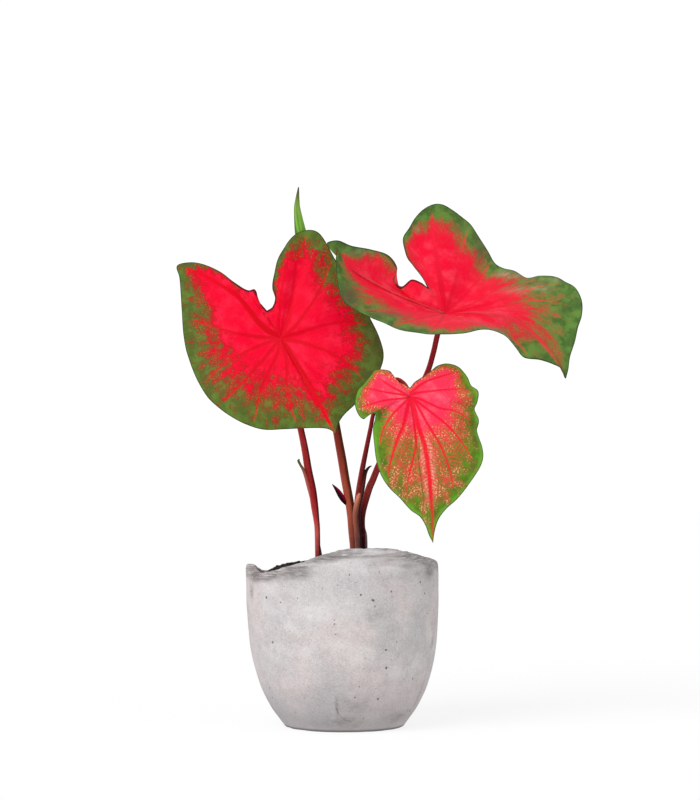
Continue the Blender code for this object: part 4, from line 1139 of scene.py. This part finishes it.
# The small leaf
# A young pointed blade that hangs in front. It is pink, with broad red veins, a speckle of cream and
# olive between them, a fresh green margin, and a folded lobe at the left.
SMALL_NAVEL = (48.5, -52, 239.5)
SMALL_BLADE_RIGHT_HALF = [
    (0, 3, 6.6, 0, 0, 0, 0.5, 2), (3.5, 5, 10.9, 0, 0, 0, 0.5, 2), (10, 8, 14.9, 0, -1, 0, 0.5, 3),
    (15.8, 10, 18.8, 0, -2, 0, 0.5, 3), (20.2, 12, 22, 0, -3, 0, 0.5, 4),
    (27.4, 13, 23.6, 0, -3, 0, 0.6, 6), (35.1, 12, 21.2, 0, -3, 0, 1, 9),
    (40.8, 9, 14.5, 0, -3, 0, 1.6, 11), (43.6, 5, 8, 0, -3, 0, 2, 13),
    (48.5, -2, 3.8, 0, -3, 0, 3, 14), (47.8, 1, -3.3, 0, -3, 0, 3, 17),
    (45.9, 5, -9, 0, -3, 0, 2, 20), (48.8, -2, -16.8, 0, -4, 0, 3, 27),
    (47.6, 3, -24.7, 0, -4, 0, 3, 32), (50.9, -3, -35.3, 0, -5, 0, 4, 40),
    (51.7, -5, -42.4, 0, -5, 0, 6, 46), (49.5, -5, -49.5, 0, -5, 0, 8, 50),
    (43.2, -4, -59.5, 0, -5, 0, 8, 54), (34.6, -4, -70.9, 0, -5, 0, 7, 60),
    (25.4, -4, -79.4, 0, -4, 0, 6, 64), (20.1, -5, -86.5, 0, -3, 0, 4, 44),
    (17.5, -6, -94.3, 0, -3, 0, 3, 16), (16.2, -8, -103.6, 0, -2, 0, 3, 6)]
SMALL_BLADE_LEFT_HALF = [
    (0, 3, 6.6, 0, 0, 0, 0.5, 2), (-3.7, 5, 9.2, 0, 0, 0, 0.5, 2), (-8, 7, 10.8, 0, -1, 0, 0.5, 2),
    (-12.2, 9, 15.1, 0, -1, 0, 0.5, 2), (-15, 11, 18.8, 0, -2, 0, 0.5, 3),
    (-24.4, 12, 19.5, 0, -2, 0, 1, 5), (-28, 10, 15.2, 0, -2, 0, 1.4, 6),
    (-32.8, 7, 9.5, 0, -2, 0, 2, 9), (-37.2, 3, 4.8, 0, -2, 0, 2.5, 11),
    (-39.3, -2, -4, 0, -2, 0, 3, 12), (-37.1, -4, -11.8, 0, -2, 1, 4, 11),
    (-33.2, -3, -15.4, 0, -2, 2, 4, 10), (-30, 0, -12, 0, -2, 1, 3, 8),
    (-24.8, 3, -11.4, 0, -2, 0, 3, 12), (-24.4, 4, -15.4, 0, -3, 0, 4, 16),
    (-25.8, 3, -22, 0, -4, 0, 4, 24), (-25.4, 1, -31.8, 0, -5, 0, 3, 30),
    (-23.6, -1, -44.6, 0, -5, 0, 3, 38), (-20.8, -2, -55.2, 0, -5, 0, 5, 46),
    (-15.1, -3, -64.1, 0, -5, 0, 8, 56), (-7.3, -4, -71.6, 0, -5, 0, 8, 64),
    (0.6, -4, -80.1, 0, -4, 0, 7, 66), (7, -5, -84.7, 0, -3, 0, 5, 60),
    (11.2, -6, -91.5, 0, -3, 0, 4, 30), (13.4, -7, -97.9, 0, -2, 0, 3, 12),
    (16.2, -8, -103.6, 0, -2, 0, 3, 6)]
SMALL_VEINS = [
    [(2.1, -5.7), (5.7, -19.9), (10, -34.1), (12.8, -48.3), (14.2, -62.6), (15.2, -76.8), (15.8, -88),
     (16.2, -101)],
    [(-0.7, -3.6), (-5, -20), (-9.2, -30.6), (-13.5, -44.8), (-15.5, -56)],
    [(1, -4.3), (3.2, -20), (4, -34), (0.9, -48.3), (-1.4, -57.6), (-3, -67)],
    [(3.6, -3.6), (12.8, -20), (21.3, -34), (28, -52), (30, -64)],
    [(5.7, -3.6), (17.8, -12.8), (28.4, -22), (39.8, -36.3), (43, -43)],
    [(7.1, -1.4), (21.3, -7.8), (32, -10), (42.7, -16.4)],
    [(3.6, 2.8), (21.3, 5), (37, 6.4)],
    [(1.4, 3.6), (10.7, 10.7), (24.9, 15.6), (34, 18)],
    [(-3.6, -0.7), (-17.8, -2.1), (-35, -6.5)],
    [(-3.6, 1.4), (-17.8, 3.6), (-27, 5.7), (-33, 6)],
    [(-5.7, 3.6), (-14.2, 8.5), (-21.3, 13.5)],
    [(-3.6, -3.6), (-12.8, -12.8), (-19.2, -23.5), (-21.5, -34)]]
# Soft spots, as on the left leaf.
SMALL_PATCHES = [
    (8, -31, 30, 18, 0.62), (8, -66, 22, 14, -0.3), (-10, -54, 9, 12, -0.3), (-30, 2, 10, 8, -0.2),
    (27, -26, 9, 9, -0.35), (-10, -24, 9, 9, -0.3), (-20, -17, 7, 5, 0.6), (36, 8, 8, 8, 0.3)]
PINK_LEAF = dict(
    heart=(248, 56, 92), glow=(252, 112, 132), deep=(240, 66, 84), rust=(212, 86, 62), olive=(134, 106, 44),
    green=(76, 112, 30), fresh=(88, 150, 32), vein=(234, 10, 44), far=(238, 26, 46), cream=(244, 204, 142),
    streaks=0.6, net=0.9, side_veins=0.2, flame=1.9, creaminess=0.9, grain=0.9, rows=0.9, line=0.9)
pink_leaf = make_leaf_skins("pink_leaf", 0.45, 0.1, 0.1, PINK_LEAF)
add_blade("small_blade", "leaf_small_blade", SMALL_NAVEL, SMALL_BLADE_RIGHT_HALF, SMALL_BLADE_LEFT_HALF,
          SMALL_VEINS, SMALL_PATCHES, pink_leaf, spacing=3.6, breadth=1.3, flames=5.2, rings=104, faint=1)

# The spear
# The newest leaf, still rolled up tight round itself: one soft yellow-green sheet, whose outer
# margin shows as a seam that winds slowly up to a dry, dark tip.
SPEAR = [
    (-20.9, 17.6, 311.4, 2.5), (-22.8, 18, 322, 3.6), (-25.6, 18.5, 336, 4.7),
    (-28.4, 19, 350, 4.9), (-30.8, 19.5, 361.5, 4.35), (-33.1, 20, 377.5, 2.6),
    (-33, 20.2, 384.5, 1.7), (-32.1, 20.5, 394.5, 0.4)]
SPEAR_SIDES = 72
SPEAR_SPACING = 0.8
# How far the sheet winds round from foot to tip, in radians.
SPEAR_TWIST = 1.5


def make_spear_skin():
    """Yellow-green with long fine veins, with painted shade darkening the seam, and browning towards the
    tip.
    """
    made, tree, shader = new_material("young_leaf", 0.45)
    flow = mark(tree, "flow", "Vector")
    veins = grain(stretch(flow, (9, 9, 0.05)), 1.0, 3)
    soft = grain(stretch(flow, (1.6, 1.6, 0.04)), 1.0, 2)
    colour = mix(grade(soft, 0.36, 0.62), paint(124, 178, 62), paint(78, 132, 26))
    colour = mix(grade(veins, 0.4, 0.7, 0.0, 0.4), colour, paint(160, 188, 98))
    # Painted shade along the seam, where the outer wrap steps over the inner one.
    colour = mix(grade(mark(tree, "seam"), 0.0, 1.0, 0.0, 0.9), colour, paint(52, 92, 16))
    climb = mark(tree, "climb")
    colour = mix(grade(climb, 0.62, 0.95, 0.0, 0.6), colour, paint(110, 128, 60))
    colour = mix(grade(climb, 0.82, 1.0, 0.0, 0.95), colour, paint(70, 56, 44))
    tree.links.new(colour, shader.inputs["Base Color"])
    roughen(shader, veins, 0.35, 0.0003)
    shader.inputs["Specular IOR Level"].default_value = 0.1
    return made


def rolled(angles, length):
    """The rolled sheet's section. At the seam, the outer wrap steps up by an eighth of the radius."""
    return 0.93 + 0.12 * (angles / (2 * math.pi)) + 0.012 * np.sin(11 * angles)


def add_spear():
    """The rolled leaf as one winding tube with a stepped seam."""
    rings, length, angles = sweep(SPEAR, SPEAR_SIDES, SPEAR_SPACING, rolled, SPEAR_TWIST)
    points, faces, _, along, flow = closed_tube(rings, length, angles)
    gap = np.minimum(angles, 2 * math.pi - angles)
    seam = np.append(np.tile(fade(gap, 0.5, 0.0), len(rings)), (0, 0))
    marks = {"seam": seam, "flow": flow, "climb": along / length[-1]}
    return new_piece("young_leaf", points, faces, marks)


spear = add_spear()
spear.data.materials.append(make_spear_skin())
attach(spear, "root")
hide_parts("spear")

# The studio
# A white light table in a white room, one broad soft light from the upper left and a weaker one
# from the right. The camera sees the room brighter than it lights the plant.


def add_sun(name, towards, strength, angle):
    """A distant light that shines along a direction, with soft shadows."""
    lamp = bpy.data.lights.new(name, "SUN")
    lamp.energy = strength
    lamp.angle = math.radians(angle)
    light = bpy.data.objects.new(name, lamp)
    light.rotation_euler = Vector(towards).to_track_quat("-Z", "Y").to_euler()
    bpy.context.scene.collection.objects.link(light)


TABLE = 4000
table_corners = [(-TABLE, -TABLE, 0), (TABLE, -TABLE, 0), (TABLE, TABLE, 0), (-TABLE, TABLE, 0)]
table = new_piece("table", table_corners, [[0, 1, 2, 3]])
table_finish, _, table_shader = new_material("white_table", 0.9)
table_shader.inputs["Base Color"].default_value = paint(120, 120, 120)
table_shader.inputs["Specular IOR Level"].default_value = 0.0
table_shader.inputs["Emission Color"].default_value = (1, 1, 1, 1)
table_shader.inputs["Emission Strength"].default_value = 0.82
table.data.materials.append(table_finish)

add_sun("key", (0.62, 0.75, -0.85), 1.9, 40)
add_sun("fill", (-0.7, 0.6, -0.3), 0.25, 60)

room = bpy.data.worlds.new("room")
bpy.context.scene.world = room
room.use_nodes = True
seen = place(room.node_tree, "ShaderNodeLightPath").outputs["Is Camera Ray"]
backdrop = room.node_tree.nodes["Background"]
backdrop.inputs["Color"].default_value = (1, 1, 1, 1)
room.node_tree.links.new(sums("MULTIPLY_ADD", seen, 0.5, 0.55), backdrop.inputs["Strength"])
bpy.context.scene.view_settings.view_transform = "Standard"
